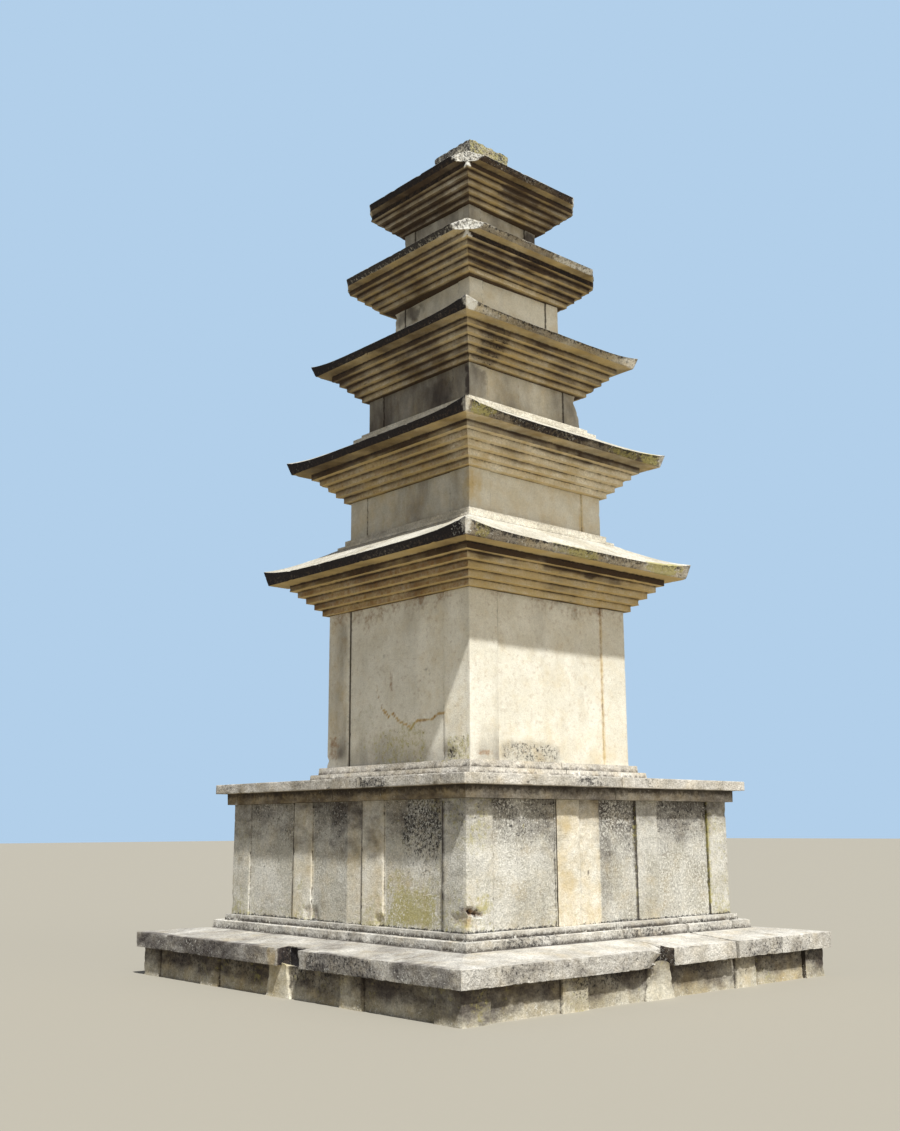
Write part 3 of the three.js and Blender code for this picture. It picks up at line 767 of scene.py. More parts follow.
# Cap courses: plan stones whose top follows a profile of the distance from the axis, m = max(|x|, |y|),
# so that a moulding turns each corner on a mitre
lowCap = {
    "half": 2.687, "bottom": 0.2903, "edgeTop": 0.457, "slopeTop": 0.507, "inner": 1.77,
    "roll": 2.085, "rollRadius": 0.043, "rollLines": 10, "groove": 0.012, "step": 1.99, "stepTop": 0.644,
    "hiddenFrom": 1.93, "contactFrom": 1.95, "backLine": 1.85, "joint": 0.005, "openJoint": 0.04,
    "notchDepth": 0.15, "notchFlank": 0.035, "notchReach": 0.25, "notchDrawn": 0.05, "notchDrop": 0.05,
    "dropFrom": 2.35, "grid": 0.0255, "near": 0.008, "innerGrid": (0.03, 0.006), "upright": (0.14, 0.05),
    "slot": "low_cap_granite",
    "wear": {**plainWear, "uneven": 0.008, "round": 0.003, "chips": 60, "chipReach": 0.05, "fresh": 0.15},
}
# Each side's joints with their gaps, and the edge broken off beside one: where it runs, how its break
# slants, how soon soil and painted shade fade in on the open end, and its paint
lowCapRows = {
    "front": {"joints": [(0, "joint"), (1.0, "openJoint")],
              "notch": {"span": (-0.31, 0), "slant": (0.02, 0.17), "fade": 0.012,
                        "crust": 0.14, "ochre": 0.35}},
    "right": {"joints": [(0.08, "joint")]},
    "back": {"joints": [(0.08, "joint")]},
    "left": {"joints": [(0.08, "joint")],
             "notch": {"span": (0.08, 0.43), "slant": (0, 0), "fade": 0.05, "crust": 0.22, "ochre": 0.1}},
}
highCap = {
    "undersideHalf": 1.998, "bottom": 1.8243, "undersideTop": 1.945, "half": 2.096, "edgeTop": 2.05,
    "slopeTop": 2.095, "seatHalves": [1.34, 1.272], "seatTops": [2.152, 2.23], "jointX": 0.04, "jointY": 0,
    "joint": 0.005, "hiddenFrom": 1.18, "contactFrom": 1.19, "middleLines": 9, "grid": 0.026, "near": 0.006,
    "innerGrid": (0.03, 0.006), "upright": (0.16, 0.06), "slot": "high_cap_granite",
    "wear": {**plainWear, "uneven": 0.005, "unevenSize": 0.4, "round": 0.004,
             "chips": 40, "chipReach": 0.05},
}


# Top of the low cap: a slope up from the edge, a roll that bulges as a quarter circle above an upright
# foot, a groove behind it, and a step.
def lowCapTop(m):
    slope = np.interp(m, [lowCap["roll"], lowCap["half"]], [lowCap["slopeTop"], lowCap["edgeTop"]])
    radius = lowCap["rollRadius"]
    across = np.clip((m - lowCap["roll"] + radius) / radius, -1, 1)
    roll = lowCap["slopeTop"] + radius * (1 + np.sqrt(1 - across ** 2))
    roll = np.maximum(roll, lowCap["slopeTop"] + 2 * radius - lowCap["groove"])
    inner = np.where(m > lowCap["step"] - 1e-6, roll, lowCap["stepTop"])
    return np.where(m > lowCap["roll"] - 1e-6, slope, inner)


# Top of the high cap: a slope up from the edge to the foot of two level seats.
def highCapTop(m):
    halves, tops = highCap["seatHalves"], highCap["seatTops"]
    slope = np.interp(m, [halves[0], highCap["half"]], [highCap["slopeTop"], highCap["edgeTop"]])
    return np.where(m > halves[0] - 1e-6, slope, np.where(m > halves[1] - 1e-6, tops[0], tops[1]))


# Lines across the low cap from its edge to where the wall hides it, close together over the roll.
def lowCapLines():
    middle = lowCap["roll"] - lowCap["rollRadius"]
    angles = np.linspace(math.pi / 2, -math.pi / 2, lowCap["rollLines"])
    roll = [-(middle + lowCap["rollRadius"] * math.sin(angle)) for angle in angles]
    outer = gradedLines([-lowCap["half"], -lowCap["roll"] - sliver], lowCap["grid"], lowCap["near"])
    inner = gradedLines([-lowCap["step"] + sliver, -lowCap["hiddenFrom"]], *lowCap["innerGrid"])
    return np.concatenate([outer, roll, [-lowCap["step"]], inner])


# Breaks the edge off along a notch: where the distance into it, slanted with height and ragged with
# noise, is above 0, the edge is pressed back to the notch's depth, and the new face is rough. On the
# front the stone beside it also sinks and draws in towards the break.
def breakEdge(points, paint, m, top, edge, side, notch, openEnd, seed):
    low, high = notch["span"]
    inward = points[:, 1] + lowCap["half"]
    height = (points[:, 2] - lowCap["bottom"]) / (top - lowCap["bottom"])
    into = points[:, 0] - low if side == 0 else high - points[:, 0]
    into = into - (notch["slant"][0] + notch["slant"][1] * height)
    into = into + 0.03 * fractalNoise(points * [0, 1, 1], 0.08, 3, seed + 1)
    deep = lowCap["notchDepth"] * smoothStep(into, 0, lowCap["notchFlank"])
    inside = (points[:, 0] > low + sliver) & (points[:, 0] < high + sliver) & (m > lowCap["roll"])
    rough = 0.04 * fractalNoise(points * [1, 0, 1], 0.08, 4, seed) * (deep > 0.02)
    moved = np.where(inside, np.maximum(points[:, 1], deep - lowCap["half"] + rough), points[:, 1])
    # The dug recess and the open end face, darker into the joint, are painted dark: stain and painted shade
    onEnd = (np.abs(points[:, 0] - openEnd) < 0.003) * smoothStep(inward, 0, notch["fade"])
    dug = smoothStep(moved - points[:, 1], 0.02, 0.06) + onEnd
    dug = dug * (inward < 0.2) * (points[:, 2] < top - 0.004)
    for name, amount in {"damp": 0.7, "crust": notch["crust"], "ochre": notch["ochre"]}.items():
        paint[name] += dug * amount
    points[:, 1] = moved
    if side == 0:
        toNotch = smoothStep(into, -lowCap["notchReach"], 0) * (points[:, 0] <= high - 0.003)
        points[:, 1] += lowCap["notchDrawn"] * toNotch ** 2 * (into <= sliver) * edge
        sunk = toNotch * height * smoothStep(m, lowCap["dropFrom"], lowCap["half"])
        points[:, 2] -= lowCap["notchDrop"] * sunk


# A low cap stone from start to end along its side. The first of a side also takes its corner.
def dressLowCap(side, n, start, end, notch):
    lines = lowCapLines()
    xs = gradedLines([start, end], lowCap["grid"], lowCap["near"])
    if n == 0:
        xs = gradedLines([-lowCap["hiddenFrom"], end], lowCap["grid"], lowCap["near"])
        xs = np.append(lines, xs[1:])
    ys = np.append(lines, [-lowCap["backLine"], -lowCap["inner"]])
    zs = gradedLines([0, 1], *lowCap["upright"])
    points, quads, triangles = latticeBox(xs, ys, zs, hidden=[(2, 0)], frameCells=4)
    paint = blankPaint(points)
    m = np.maximum(-points[:, 0], -points[:, 1])
    top = lowCapTop(m)
    points[:, 2] = lowCap["bottom"] + points[:, 2] * (top - lowCap["bottom"])
    paint["contact"] = (m < lowCap["contactFrom"]) * 1.0
    toRoll, toStep = m - lowCap["roll"], m - lowCap["step"]
    roll = (toRoll < hair) & (toStep > -hair)
    outside = m < lowCap["roll"] + sliver
    # Soil and painted shade in the creases at the roll's foot and behind the step
    foot = 0.95 * (1 - smoothStep(toRoll, 0.004, 0.024)) * (m > lowCap["roll"] + 0.0005)
    foot += 0.5 * (np.abs(toRoll) < hair)
    foot = foot + 0.65 * (np.abs(toStep) < hair)
    # A painted highlight along the step's top arris
    lipHighlight = np.abs(toStep + sliver) < hair
    edge = smoothStep(m, lowCap["half"] - 0.02, lowCap["half"] - 0.005)
    seed = 200 + 10 * side + n
    if notch and end >= notch["span"][0] - 0.01 and start <= notch["span"][1] + 0.01:
        facing = (n > 0) == (side == 0)
        openEnd = (start if side == 0 else end) if facing else math.inf
        breakEdge(points, paint, m, top, edge, side, notch, openEnd, seed)
    turnStone(points, side)
    weather(points, quads, paint, lowCap["wear"], seed)
    patches = fractalNoise(points, 0.5, 4, 61)
    shaded = (sideOf(points) > 1) * 1.0
    paint["crust"] += edge * (0.2 + 0.12 * patches) + (1 - edge) * (0.08 + 0.1 * patches)
    paint["crust"] += roll * (0.08 + 0.1 * patches)
    paint["speck"] += 0.2 + 0.1 * fractalNoise(points, 0.3, 3, 62) + 0.07 * outside
    paint["crust"] += 0.04 * outside
    paint["damp"] += (edge * (0.14 + 0.12 * shaded + 0.14 * patches)
                      + roll * (0.1 + 0.08 * shaded + 0.15 * patches))
    paint["damp"] += 0.3 * shaded * (1 - edge) * (1 - roll)
    # Painted shade and soil in the creases
    paint["hollow"] = np.maximum(paint["hollow"], foot)
    # The painted highlight on the step's arris, laid as pale
    paint["pale"] += 0.3 * lipHighlight
    addStone(f"low_cap_{sides[side]}_{n + 1}", lowCap["slot"], points, quads, triangles, paint)


# What the photograph shows on the low cap's edge: clean, streaked and dark stretches, and soil in the
# joint behind the step
front = partial(mark, "front", lowCap["half"])
left = partial(mark, "left", lowCap["half"])
front((-2.2, -0.5), (0.28, 0.46), damp=0.18)
front((0.03, 0.98), (0.28, 0.46), tone=0.1, crust=-0.13, damp=-0.1)
front((1.05, 1.89), (0.28, 0.46), damp=0.2, crust=0.08)
front((1.9, 2.68), (0.28, 0.46), damp=0.1)
left((-2.69, -1.8), (0.27, 0.48), damp=0.24, tone=-0.08)
left((-1.8, -0.44), (0.27, 0.48), damp=0.25, crust=0.1)
left((0.12, 2.67), (0.27, 0.48), damp=0.34, crust=0.03)
left((-0.07, 0.1), (0.28, 0.46), ochre=0.3, crust=-0.1)
for side, row in enumerate(lowCapRows.values()):
    starts = [-lowCap["half"], *[joint + lowCap[gap] / 2 for joint, gap in row["joints"]]]
    ends = [*[joint - lowCap[gap] / 2 for joint, gap in row["joints"]], lowCap["inner"] - lowCap["joint"]]
    for n, (start, end) in enumerate(zip(starts, ends)):
        dressLowCap(side, n, start, end, row.get("notch"))


# A quarter of the high cap, from its joints out to the edge. Its underside steps up outside the wall.
def dressHighCap(place, signX, signY, seed):
    seat, under, grid, near = (highCap[name] for name in ("seatHalves", "undersideHalf", "grid", "near"))
    outerLines = np.concatenate([
        gradedLines([highCap["hiddenFrom"], seat[1]], *highCap["innerGrid"]), [seat[1] + sliver],
        gradedLines([seat[1] + sliver, seat[0]], *highCap["innerGrid"])[1:],
        gradedLines([seat[0] + sliver, under], grid, near),
        gradedLines([under + sliver, highCap["half"]], grid, near),
    ])
    lines = []
    for sign, joint in ((signX, highCap["jointX"]), (signY, highCap["jointY"])):
        start = sign * joint + highCap["joint"] / 2
        middle = np.linspace(start, highCap["hiddenFrom"], highCap["middleLines"])[:-1]
        lines.append(np.sort(sign * np.concatenate([middle, outerLines])))
    points, quads, triangles = latticeBox(*lines, gradedLines([0, 1], *highCap["upright"]))
    paint = blankPaint(points)
    m = np.maximum(np.abs(points[:, 0]), np.abs(points[:, 1]))
    top = highCapTop(m)
    bottom = np.where(m > under + sliver / 2, highCap["undersideTop"], highCap["bottom"])
    points[:, 2] = bottom + points[:, 2] * (top - bottom)
    paint["contact"] = (m < highCap["contactFrom"]) * 1.0
    edge = smoothStep(m, highCap["half"] - 0.02, highCap["half"] - 0.004)
    lower = (points[:, 2] < highCap["undersideTop"] + 0.002) & (edge < 0.5)
    weather(points, quads, paint, highCap["wear"], seed)
    patches = fractalNoise(points, 0.45, 3, 51)
    shaded = (sideOf(points) > 1) * 1.0
    riser = (m < seat[0] + 0.01) * 1.0
    # Soil and painted shade in the crease at the seats' foot, stronger on the back and left
    foot = (m < seat[0] + 0.012) & (m > seat[0] - 0.004) & (points[:, 2] < highCap["slopeTop"] + 0.02)
    paint["hollow"] = np.maximum(paint["hollow"], (0.1 + 0.45 * shaded) * foot)
    paint["crust"] = edge * (0.12 + 0.07 * shaded + 0.16 * patches) + lower * 0.06 + 0.08 * patches
    paint["ochre"] = lower * (0.15 + 0.3 * shaded)
    paint["damp"] = (edge * (0.14 + 0.08 * shaded) + lower * (0.39 + 0.12 * shaded)
                     + (0.13 + 0.07 * shaded) * riser)
    paint["crust"] += 0.08 * riser
    paint["speck"] = 0.18 + 0.1 * patches
    paint["tone"] = 0.12 * (1 - shaded) * (m > 1.36) * (points[:, 2] > 2.04) * (1 - edge)
    addStone(f"high_cap_{place}", highCap["slot"], points, quads, triangles, paint)


# Darker, mottled stretches of the high cap's edge and underside
mark("left", highCap["half"], (-1.03, -0.48), (1.94, 2.06), crust=0.13, damp=0.05)
mark("front", highCap["half"], (-0.62, 0.12), (1.94, 2.06), crust=0.15, tone=-0.15)
mark("front", highCap["undersideHalf"], (-0.55, 0.15), (1.81, 1.95), damp=0.12, crust=0.05)
quarters = {"front_left": (-1, -1), "front_right": (1, -1), "back_right": (1, 1), "back_left": (-1, 1)}
for n, (place, signs) in enumerate(quarters.items()):
    dressHighCap(place, *signs, 260 + n)
print("cap courses dressed")


# Storeys from the ground up: each block's size, its roof's corbels, eave, slope and seat, and what the
# years did to them, as film from 0 to 1 on the front and on the left
storeyTable = {
    "half": [1.199, 1.034, 0.888, 0.7, 0.568],
    "top": [3.966, 5.313, 6.565, 7.702, 8.699],
    "pillar": [0, 0.312, 0.275, 0.2, 0.19],
    "recess": [0, 0.012, 0.01, 0.009, 0.009],
    "shift": [0, 0, 0, 0.028, -0.02],
    "turn": [0, 0, 0, -2.1, 2],
    "film": [(0, 0), (-0.1, 0.25), (0.3, 0.53), (0.08, 0.2), (0.44, 0.5)],
    "dim": [0, 0.19, 0.27, 0.03, 0],
    "corbel": [(1.262, 1.54), (1.098, 1.376), (0.955, 1.215), (0.811, 1.07), (0.642, 0.9)],
    "soffit": [4.335, 5.678, 6.905, 8.01, 8.99],
    "eaveBottom": [1.718, 1.545, 1.355, 1.178, 0.99],
    "eave": [1.761, 1.592, 1.4, 1.22, 1.03],
    "eaveTop": [4.428, 5.756, 6.98, 8.082, 9.06],
    "lift": [0.084, 0.075, 0.063, 0.012, 0.01],
    "pitch": [0.514, 0.517, 0.499, 0.485, 0.485],
    "seatHalves": [(1.141, 1.078), (1.02, 0.95), (0.812, 0.758), (0.68, 0.628), (0.4,)],
    "seatTops": [(4.775, 4.855), (6.093, 6.155), (7.303, 7.37), (8.392, 8.45), (9.395,)],
    "brokenCorners": [(), (), (), (2.165, 2.075, 2.15, 2.165), (1.78, 1.772, 1.78, 1.785)],
    "tone": [0.12, 0.43, 0, 0, 0],
    "yellow": [(1, 1), (0.6, 0.85), (0.75, 0.7), (0.8, 0.7), (0.75, 0.55)],
    "firstRiser": [(0.02, 0.36), (-0.04, 0.42), (0.2, 0.5), (0.2, 0.35), (0.34, 0.55)],
    "middleRisers": [(0.2, 0.48), (0.04, 0.37), (0.27, 0.58), (0.68, 0.49), (0.34, 0.42)],
    "lastRiser": [(0.8, 0.66), (0.5, 0.72), (0.4, 0.7), (1.1, 0.6), (0.85, 1.1)],
    "treads": [(-0.03, 0.01), (-0.3, 0.04), (0.02, 0.42), (0.42, 0.31), (0.34, 0.61)],
    "soffitFilm": [(0.12, 0.3), (0.35, 0.49), (0.2, 0.51), (0.34, 0.35), (0.4, 0.8)],
    "fasciaFilm": [(0.4, 0.74), (0.58, 1.05), (0.3, 0.82), (0.44, 0.34), (0.7, 0.85)],
    "blotches": [0.12, 0.08, 0.12, 0.2, 0.2],
}
storeys = [{name: column[k] for name, column in storeyTable.items()} for k in range(5)]
roofForm = {
    "bedGap": 0.0003, "bedInset": 0.03, "corbelSteps": 5, "lastSeat": 0.13,
    "step": 0.0245, "near": 0.006, "slopeStep": 0.04, "fasciaStep": 0.016,
    "breakRough": 0.045, "breakSize": 0.1, "slot": "roof_granite",
    "wear": {**plainWear, "uneven": 0.008, "unevenSize": 0.25, "roundSize": 0.2, "chips": 200, "fresh": 0},
}
brokenPaint = {"pale": 0.15, "damp": 0.05, "ochre": 0, "speck": 0.36, "tone": -0.15}
zones = {"tread": 0, "riser": 1, "soffit": 2, "fascia": 3, "slope": 4, "seat": 5}


# Height of the slope: it rises inwards from the eave, and the eave lifts to its corners with the
# fifth power of the way along.
def slopeHeight(storey, half, fractions):
    toEave = half / storey["eave"]
    rise = storey["pitch"] * (storey["eave"] - half)
    return storey["eaveTop"] + rise + storey["lift"] * np.abs(fractions * toEave) ** 5 * toEave ** 4


# A roof stone's profile as rings from its bed out over the corbels to the eave, in up the slope and
# over its seat. Each ring has its half width, its heights, its zone, the corbel it is on, and the
# share of the way along its stretch.
def roofRings(storey, fractions):
    rings = []
    flat = np.ones(len(fractions))
    near = roofForm["near"]

    def stretch(fromHalf, toHalf, fromHeight, toHeight, kind, corbel=0, spacing=roofForm["step"]):
        length = max(abs(toHalf - fromHalf), float(np.max(np.abs(toHeight - fromHeight))))
        for share in gradedLines([0, 1], spacing / length, near / length)[:-1]:
            half = fromHalf + share * (toHalf - fromHalf)
            rings.append((half, fromHeight + share * (toHeight - fromHeight), zones[kind], corbel, share))

    count, top, soffit = roofForm["corbelSteps"], storey["top"], flat * storey["soffit"]
    rise = (storey["soffit"] - top) / count
    levels = [flat * (top + roofForm["bedGap"]), *[flat * (top + n * rise) for n in range(1, count + 1)]]
    steps = np.linspace(*storey["corbel"], count)
    stretch(storey["half"] - roofForm["bedInset"], steps[0], levels[0], levels[0], "tread")
    for n, half in enumerate(steps):
        stretch(half, half, levels[n], levels[n + 1], "riser", n + 1)
        if n + 1 < count:
            stretch(half, steps[n + 1], levels[n + 1], levels[n + 1], "tread", n + 1)
    foot = storey["seatHalves"][0]
    edge = slopeHeight(storey, storey["eave"], fractions)
    stretch(steps[-1], storey["eaveBottom"], soffit, soffit, "soffit", count)
    stretch(storey["eaveBottom"], storey["eave"], soffit, edge, "fascia", spacing=roofForm["fasciaStep"])
    for half in gradedLines([storey["eave"], foot], roofForm["slopeStep"], near)[:-1]:
        rings.append((half, slopeHeight(storey, half, fractions), zones["slope"], 0, 0))
    below = slopeHeight(storey, foot, fractions)
    inners = [*storey["seatHalves"][1:], storey["seatHalves"][-1] - roofForm["lastSeat"]]
    for half, inner, height in zip(storey["seatHalves"], inners, storey["seatTops"]):
        level = flat * height
        stretch(half, half, below, level, "seat")
        stretch(half, inner, level, level, "seat")
        below = level
    rings.append((inners[-1], below, zones["seat"], 0, 0))
    halves, heights, *kinds = zip(*rings)
    return np.array(halves), np.array(heights), np.array(kinds)


# A film's amount at each point, from the front's and the left's. The right takes their mean.
def bySide(pair, side):
    return np.choose(side, [pair[0], (pair[0] + pair[1]) / 2, pair[1], pair[1]])


# Paint for a roof. Its corbels are ochre, with grime and painted shade in their inner corners, a painted
# contact shadow with grime on the tread against the block, and darker film towards the top riser. The
# eave is black with lichen and specked white, and the slope is bleached.
def paintRoof(storey, paint, points, zone, corbel, placed):
    patches = fractalNoise(points, 0.5, 4, 41)
    spots = fractalNoise(points, 0.16, 3, 42)
    side = sideOf(points)
    shaded = side > 1
    isUnder = (zone == zones["tread"]) | (zone == zones["soffit"])
    isRiser = zone == zones["riser"]
    isCorbel = isRiser | isUnder
    isFascia = zone == zones["fascia"]
    isTop = zone >= zones["slope"]
    isSeat = zone == zones["seat"]
    first, middle, last = (bySide(storey[name], side)
                           for name in ("firstRiser", "middleRisers", "lastRiser"))
    riserFilmAndShade = np.where(corbel > 4, last, np.where(corbel > 1, middle, first))
    # Grime and painted shade darken the inner corners: the top of each riser and the inner part of each
    # tread
    riserFilmAndShade = riserFilmAndShade + 0.4 * smoothStep(placed, 0.75, 1) - 0.08 * (1 - smoothStep(placed, 0, 0.3))
    treadFilmAndShade = bySide(storey["treads"], side) + 0.44 * (1 - smoothStep(placed, 0, 0.3))
    # A painted contact shadow with grime on the first tread, against the block
    treadFilmAndShade += 0.6 * (corbel < 1) * (1 - smoothStep(placed, 0.45, 0.9))
    treadFilmAndShade = np.where(zone == zones["soffit"], bySide(storey["soffitFilm"], side), treadFilmAndShade)
    paint["ochre"] = np.where(isUnder, 0.75, np.where(isRiser, 0.5, -0.05)) * bySide(storey["yellow"], side)
    paint["ochre"] += 0.3 * isFascia * (side < 2)
    paint["ochre"] += 0.12 * patches
    paint["damp"] = riserFilmAndShade * isRiser + treadFilmAndShade * isUnder - 0.04 * isCorbel * shaded
    paint["damp"] += (0.12 * isTop + 0.08 * isSeat) * shaded
    paint["damp"] += isFascia * bySide(storey["fasciaFilm"], side) + 0.1 * patches * (1 - isTop)
    blotches = fractalNoise(points * [1, 1, 2.5], 0.4, 4, 44)
    paint["damp"] += (0.2 * patches + storey["blotches"] * blotches) * isCorbel
    paint["damp"] += 0.1 * spots * isCorbel
    toLip = smoothStep(placed, 0.35, 1) - 0.4
    paint["crust"] = isFascia * (bySide((0.29, 0.46), side) + 0.05 * patches + 0.14 * toLip)
    paint["crust"] += isTop * (bySide((0.07, 0.19), side) + 0.14 * patches) * (1 - 0.6 * isSeat)
    paint["crust"] += isRiser * (0.06 + 0.1 * spots + 0.3 * (riserFilmAndShade > 0.9))
    paint["speck"] = isFascia * bySide((0.22, 0.15), side) + isTop * 0.08 + 0.1 * spots * isFascia
    paint["moss"] = isFascia * (0.3 * fractalNoise(points, 0.8, 2, 43) - 0.02) * (side < 2)
    rusty = storey["yellow"][1] ** 2 * (1 - smoothStep(riserFilmAndShade, 0.45, 0.75))
    paint["rust"] = (0.34 * isRiser + 0.16 * isUnder) * shaded * rusty
    paint["tone"] = storey["tone"] * isCorbel * (side < 2) + 0.12 * isSeat
    paint["tone"] -= 0.1 * (isTop & ~isSeat)


# What the photograph shows on the eaves: whitish ends, yellow-green lichen and black stretches, stains
# on the corbels, and pale seams under the broken corners
for half, heights, rows in [
    (1.75, (4.32, 4.55), [
        (-1.79, -1.67, {"pale": 0.35, "damp": -0.4, "crust": -0.12}), (-1.62, -1.40, {"moss": 0.4}),
        (-0.64, 0.2, {"moss": 0.26}), (0.9, 1.6, {"moss": 0.42, "damp": -0.15, "crust": -0.08}),
        (1.62, 1.76, {"pale": 0.3})]),
    (1.58, (5.66, 5.87), [
        (-1.6, -1.5, {"pale": 0.35, "damp": -0.4, "crust": -0.12}), (-1.5, -1.14, {"moss": 0.36}),
        (-1.1, 0.46, {"crust": 0.1, "damp": 0.1}), (0.6, 1.2, {"moss": 0.2}),
        (1.15, 1.47, {"moss": 0.4, "damp": -0.15}), (1.48, 1.6, {"pale": 0.4, "crust": -0.1})]),
    (1.39, (6.89, 7.06), [
        (-1.42, -1.2, {"pale": 0.32, "damp": -0.4, "crust": -0.05, "speck": 0.2}),
        (-0.9, 0.4, {"damp": 0.1}), (1.12, 1.4, {"pale": 0.35, "damp": -0.2})]),
    (1.5, (4.2, 4.35), [(-0.5, 0.5, {"damp": 0.3})]),
    (1.5, (4.08, 4.3), [(0.2, 0.9, {"damp": 0.2})]),
    (1.5, (4.2, 4.35), [(-1.5, -0.9, {"damp": 0.15})]),
    (1.3, (5.55, 5.7), [(-0.3, 0.7, {"damp": 0.3})]),
]:
    for low, high, added in rows:
        mark("front", half, (low, high), heights, **added)
for half, height in [(0.98, 6.62), (1.08, 6.72), (1.18, 6.82)]:
    mark("front", half, (-0.95, -0.5), (height - 0.07, height + 0.09), damp=0.16, crust=0.17)
    mark("front", half, (-0.2, 0.15), (height - 0.07, height + 0.09), damp=0.08, crust=0.12)
mark("front", 1.0, (-0.3, 0.5), (7.88, 8.02), damp=0.3)
mark("front", 0.8, (-0.3, 0.4), (8.8, 8.99), damp=0.16)
mark("front", 1.21, (0.1, 0.9), (8.0, 8.12), pale=0.2, damp=-0.1, speck=0.15)
mark("front", 1.2, (0.9, 1.22), (7.9, 8.12), pale=0.3, speck=0.2, damp=-0.2)
mark("front", 1.0, (0.72, 1.02), (8.95, 9.1), pale=0.2, speck=0.25, damp=-0.2)
mark("front", 1.54, (-1.12, -0.94), (4.0, 4.06), damp=0.6)
for half, height in [(1.07, 8.01), (0.9, 8.99)]:
    for sideName in ("front", "left"):
        markLine(sideName, half, [(-half - 0.01, height + 0.01), (-half + 0.06, height - 0.07)], 0.022,
                 pale=0.9, speck=0.3, damp=-0.6, ochre=-0.5)
mark("left", 1.7, (-1.78, -1.5), (4.34, 4.55), speck=0.14)


# A roof stone: its rings, closed into a skin, with the lost corners broken off before it weathers.
def dressRoof(number, storey):
    span = 2 * storey["eave"]
    fractions = gradedLines([-1, 1], 2 * roofForm["step"] / span, 2 * roofForm["near"] / span)[:-1]
    halves, heights, kinds = roofRings(storey, fractions)
    points, quads, triangles = ringSkin(halves, heights, fractions)
    paint = blankPaint(points)
    kinds = np.repeat(kinds, 4 * len(fractions), axis=1)
    middles = [[zones["tread"], zones["seat"]], [0, 0], [0, 0]]
    zone, corbel, placed = np.concatenate([kinds, middles], axis=1)
    paint["contact"] = (np.abs(points[:, :2]).max(axis=1) < storey["half"] - 0.005) * 1.0
    seed = 300 + 10 * number
    broken = np.zeros(len(points), bool)
    for k, total in enumerate(storey["brokenCorners"]):
        way = np.array([*turned(-1, -1, k), 0])
        broken |= breakOff(points, way * total / 2, way, roofForm["breakRough"],
                           roofForm["breakSize"], seed + k)
    weather(points, quads, paint, roofForm["wear"], seed)
    paintRoof(storey, paint, points, zone, corbel, placed)
    for name, amount in brokenPaint.items():
        paint[name][broken] = amount
    paint["crust"][broken] = 0.34 + 0.15 * fractalNoise(points[broken], 0.08, 3, seed)
    addStone(f"roof_{number}", roofForm["slot"], points, quads, triangles, paint)


blockForm = {
    "grid": 0.0235, "near": 0.005, "recessFade": 0.15, "slot": "block_granite",
    "wear": {**plainWear, "uneven": 0.004, "unevenSize": 0.45, "chips": 30, "fresh": 0},
}
wornCorner = {"number": 3, "place": (0.9, -0.9, 6.57), "way": (1, -0.2, 0), "reach": 0.3, "depth": 0.07}

# What the photograph shows on the blocks: block 2's yellowed near corner, block 3's grey one with a
# worn joint, block 4's ragged joint and stained left, and block 5's dark bands.
second, third, fourth, fifth = (storey["half"] for storey in storeys[1:])
mark("front", second, (-1.06, -0.84), (4.85, 5.32), ochre=0.24, tone=-0.03)
mark("front", second, (0.69, 0.75), (4.7, 5.4), hollow=-0.35, rust=0.1, ochre=0.3)
mark("left", second, (-1.05, -0.93), (4.85, 5.32), ochre=0.15, rust=0.1)
mark("left", second, (0.67, 0.77), (4.7, 5.4), hollow=-0.25)
mark("front", third, (-0.92, -0.6), (6.15, 6.57), damp=0.26, ochre=-0.1)
markLine("front", 0.885, [(-0.1, 6.54), (-0.13, 6.4), (-0.09, 6.2)], 0.012, rust=0.4)
mark("left", third, (-0.6, -0.1), (6.2, 6.5), damp=0.06, crust=0.1)
jointPlaces = [(0.5, 7.7), (0.53, 7.62), (0.5, 7.55), (0.54, 7.48), (0.52, 7.37)]
markLine("front", fourth, jointPlaces, 0.02, rust=0.3, damp=0.1)
mark("left", fourth, (0.1, 0.72), (7.5, 7.72), damp=0.3, crust=0.1)
mark("left", fourth, (0.2, 0.5), (7.4, 7.55), ochre=0.2, damp=0.12)
mark("front", fifth, (0.36, 0.6), (8.45, 8.7), damp=0.2)
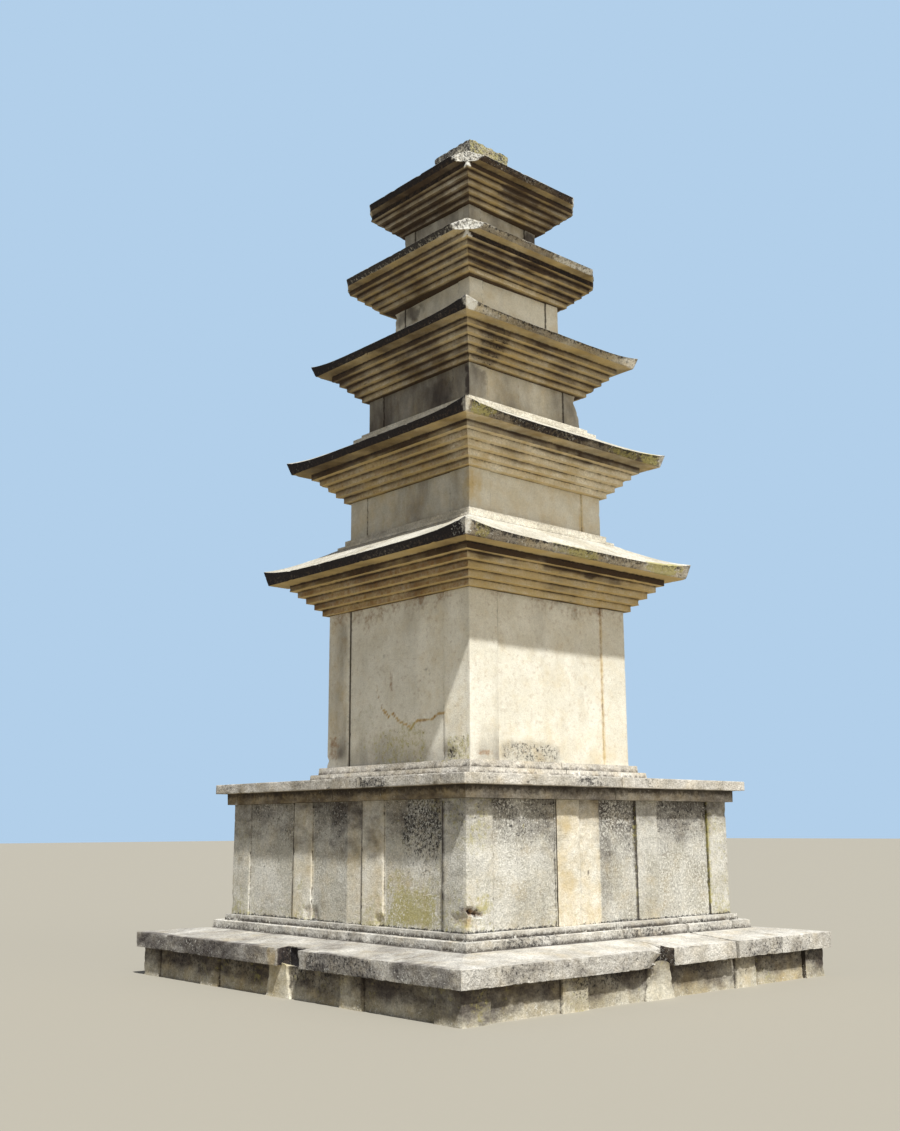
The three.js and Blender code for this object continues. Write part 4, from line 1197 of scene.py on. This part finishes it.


# A block: a lattice box whose faces step back between its corner pillars, turned and slid on its seat,
# with a painted shadow line along the pillars' edges.
def dressBlock(number, storey, seat):
    half = storey["half"]
    edge = half - storey["pillar"]
    grid, near = blockForm["grid"], blockForm["near"]
    lines = gradedLines([-half, -edge - sliver, -edge, edge, edge + sliver, half], grid, near)
    zs = gradedLines([seat, storey["top"]], grid, near)
    points, quads, triangles = latticeBox(lines, lines, zs, hidden=[(2, 0), (2, 1)])
    paint = blankPaint(points)
    across = np.abs(points[:, :2])
    for axis in (0, 1):
        toFace = smoothStep(across[:, axis], half - blockForm["recessFade"], half)
        inPanel = across[:, 1 - axis] < edge + sliver / 2
        points[:, axis] -= np.sign(points[:, axis]) * storey["recess"] * toFace * inPanel
    inset = np.minimum(points[:, 2] - seat, storey["top"] - points[:, 2])
    paint["contact"] = (inset < touch) * 1.0
    if number == wornCorner["number"]:
        chip(points, *[wornCorner[name] for name in ("place", "way", "reach", "depth")])
    weather(points, quads, paint, blockForm["wear"], 400 + 10 * number)
    angle = math.radians(storey["turn"])
    x, y = points[:, 0].copy(), points[:, 1].copy()
    points[:, 0] = x * math.cos(angle) - y * math.sin(angle) + storey["shift"]
    points[:, 1] = x * math.sin(angle) + y * math.cos(angle) - storey["shift"]
    patches = fractalNoise(points, 0.5, 4, 31)
    streaks = fractalNoise(points * [1, 1, 0.25], 0.07, 3, 32)
    side = sideOf(points)
    film = bySide(storey["film"], side)
    paint["damp"] = film + 0.06 * patches + 0.06 * streaks
    paint["crust"] = 0.05 + 0.06 * patches + 0.06 * film
    paint["tone"] = -storey["dim"] * (side > 1)
    paint["ochre"] = 0.1 + 0.15 * patches - 0.1 * (number > 3) * (side > 1)
    paint["speck"] += 0.03
    # A painted shadow line on the panel along each pillar's edge, where the face steps back
    farX, farY = points[:, 0] * np.where(side == 0, 1, -1), points[:, 1] * np.where(side == 3, 1, -1)
    toPillarEdge = np.abs(np.where(side % 2 == 0, farX, farY) - edge)
    paint["hollow"] = np.maximum(paint["hollow"], 0.8 * (1 - smoothStep(toPillarEdge, 0.002, 0.012)))
    addStone(f"block_{number}", blockForm["slot"], points, quads, triangles, paint)


for number, storey in enumerate(storeys, start=1):
    if number > 1:
        dressBlock(number, storey, storeys[number - 2]["seatTops"][-1] + roofForm["bedGap"])
    dressRoof(number, storey)
    print("storey", number, "dressed")

# The square stone that carried the lost finial, ragged along its top
finialBase = {
    "half": 0.33, "bottom": 9.3953, "top": 9.76, "grid": 0.014, "near": 0.006, "slot": "finial_granite",
    "wear": {**plainWear, "unevenSize": 0.2, "round": 0.003, "roundSize": 0.2, "chipReach": 0.07},
}


# A plain lattice box with larger chips than the other stones.
def dressFinialBase():
    grid, near = finialBase["grid"], finialBase["near"]
    lines = gradedLines([-finialBase["half"], finialBase["half"]], grid, near)
    zs = gradedLines([finialBase["bottom"], finialBase["top"]], grid, near)
    points, quads, triangles = latticeBox(lines, lines, zs, hidden=[(2, 0)])
    paint = blankPaint(points)
    paint["contact"] = (points[:, 2] < finialBase["bottom"] + touch) * 1.0
    weather(points, quads, paint, finialBase["wear"], 500)
    patches = fractalNoise(points, 0.2, 3, 21)
    side = sideOf(points)
    paint["crust"] = 0.28 + 0.16 * patches + 0.06 * (side == 3)
    paint["moss"] = 0.1 + 0.2 * patches + 0.2 * (side == 0)
    paint["speck"] = 0.24 + 0.1 * patches
    paint["damp"] = 0.16 + 0.21 * (side == 3)
    addStone("finial_base", finialBase["slot"], points, quads, triangles, paint)


dressFinialBase()

print("all stones dressed")
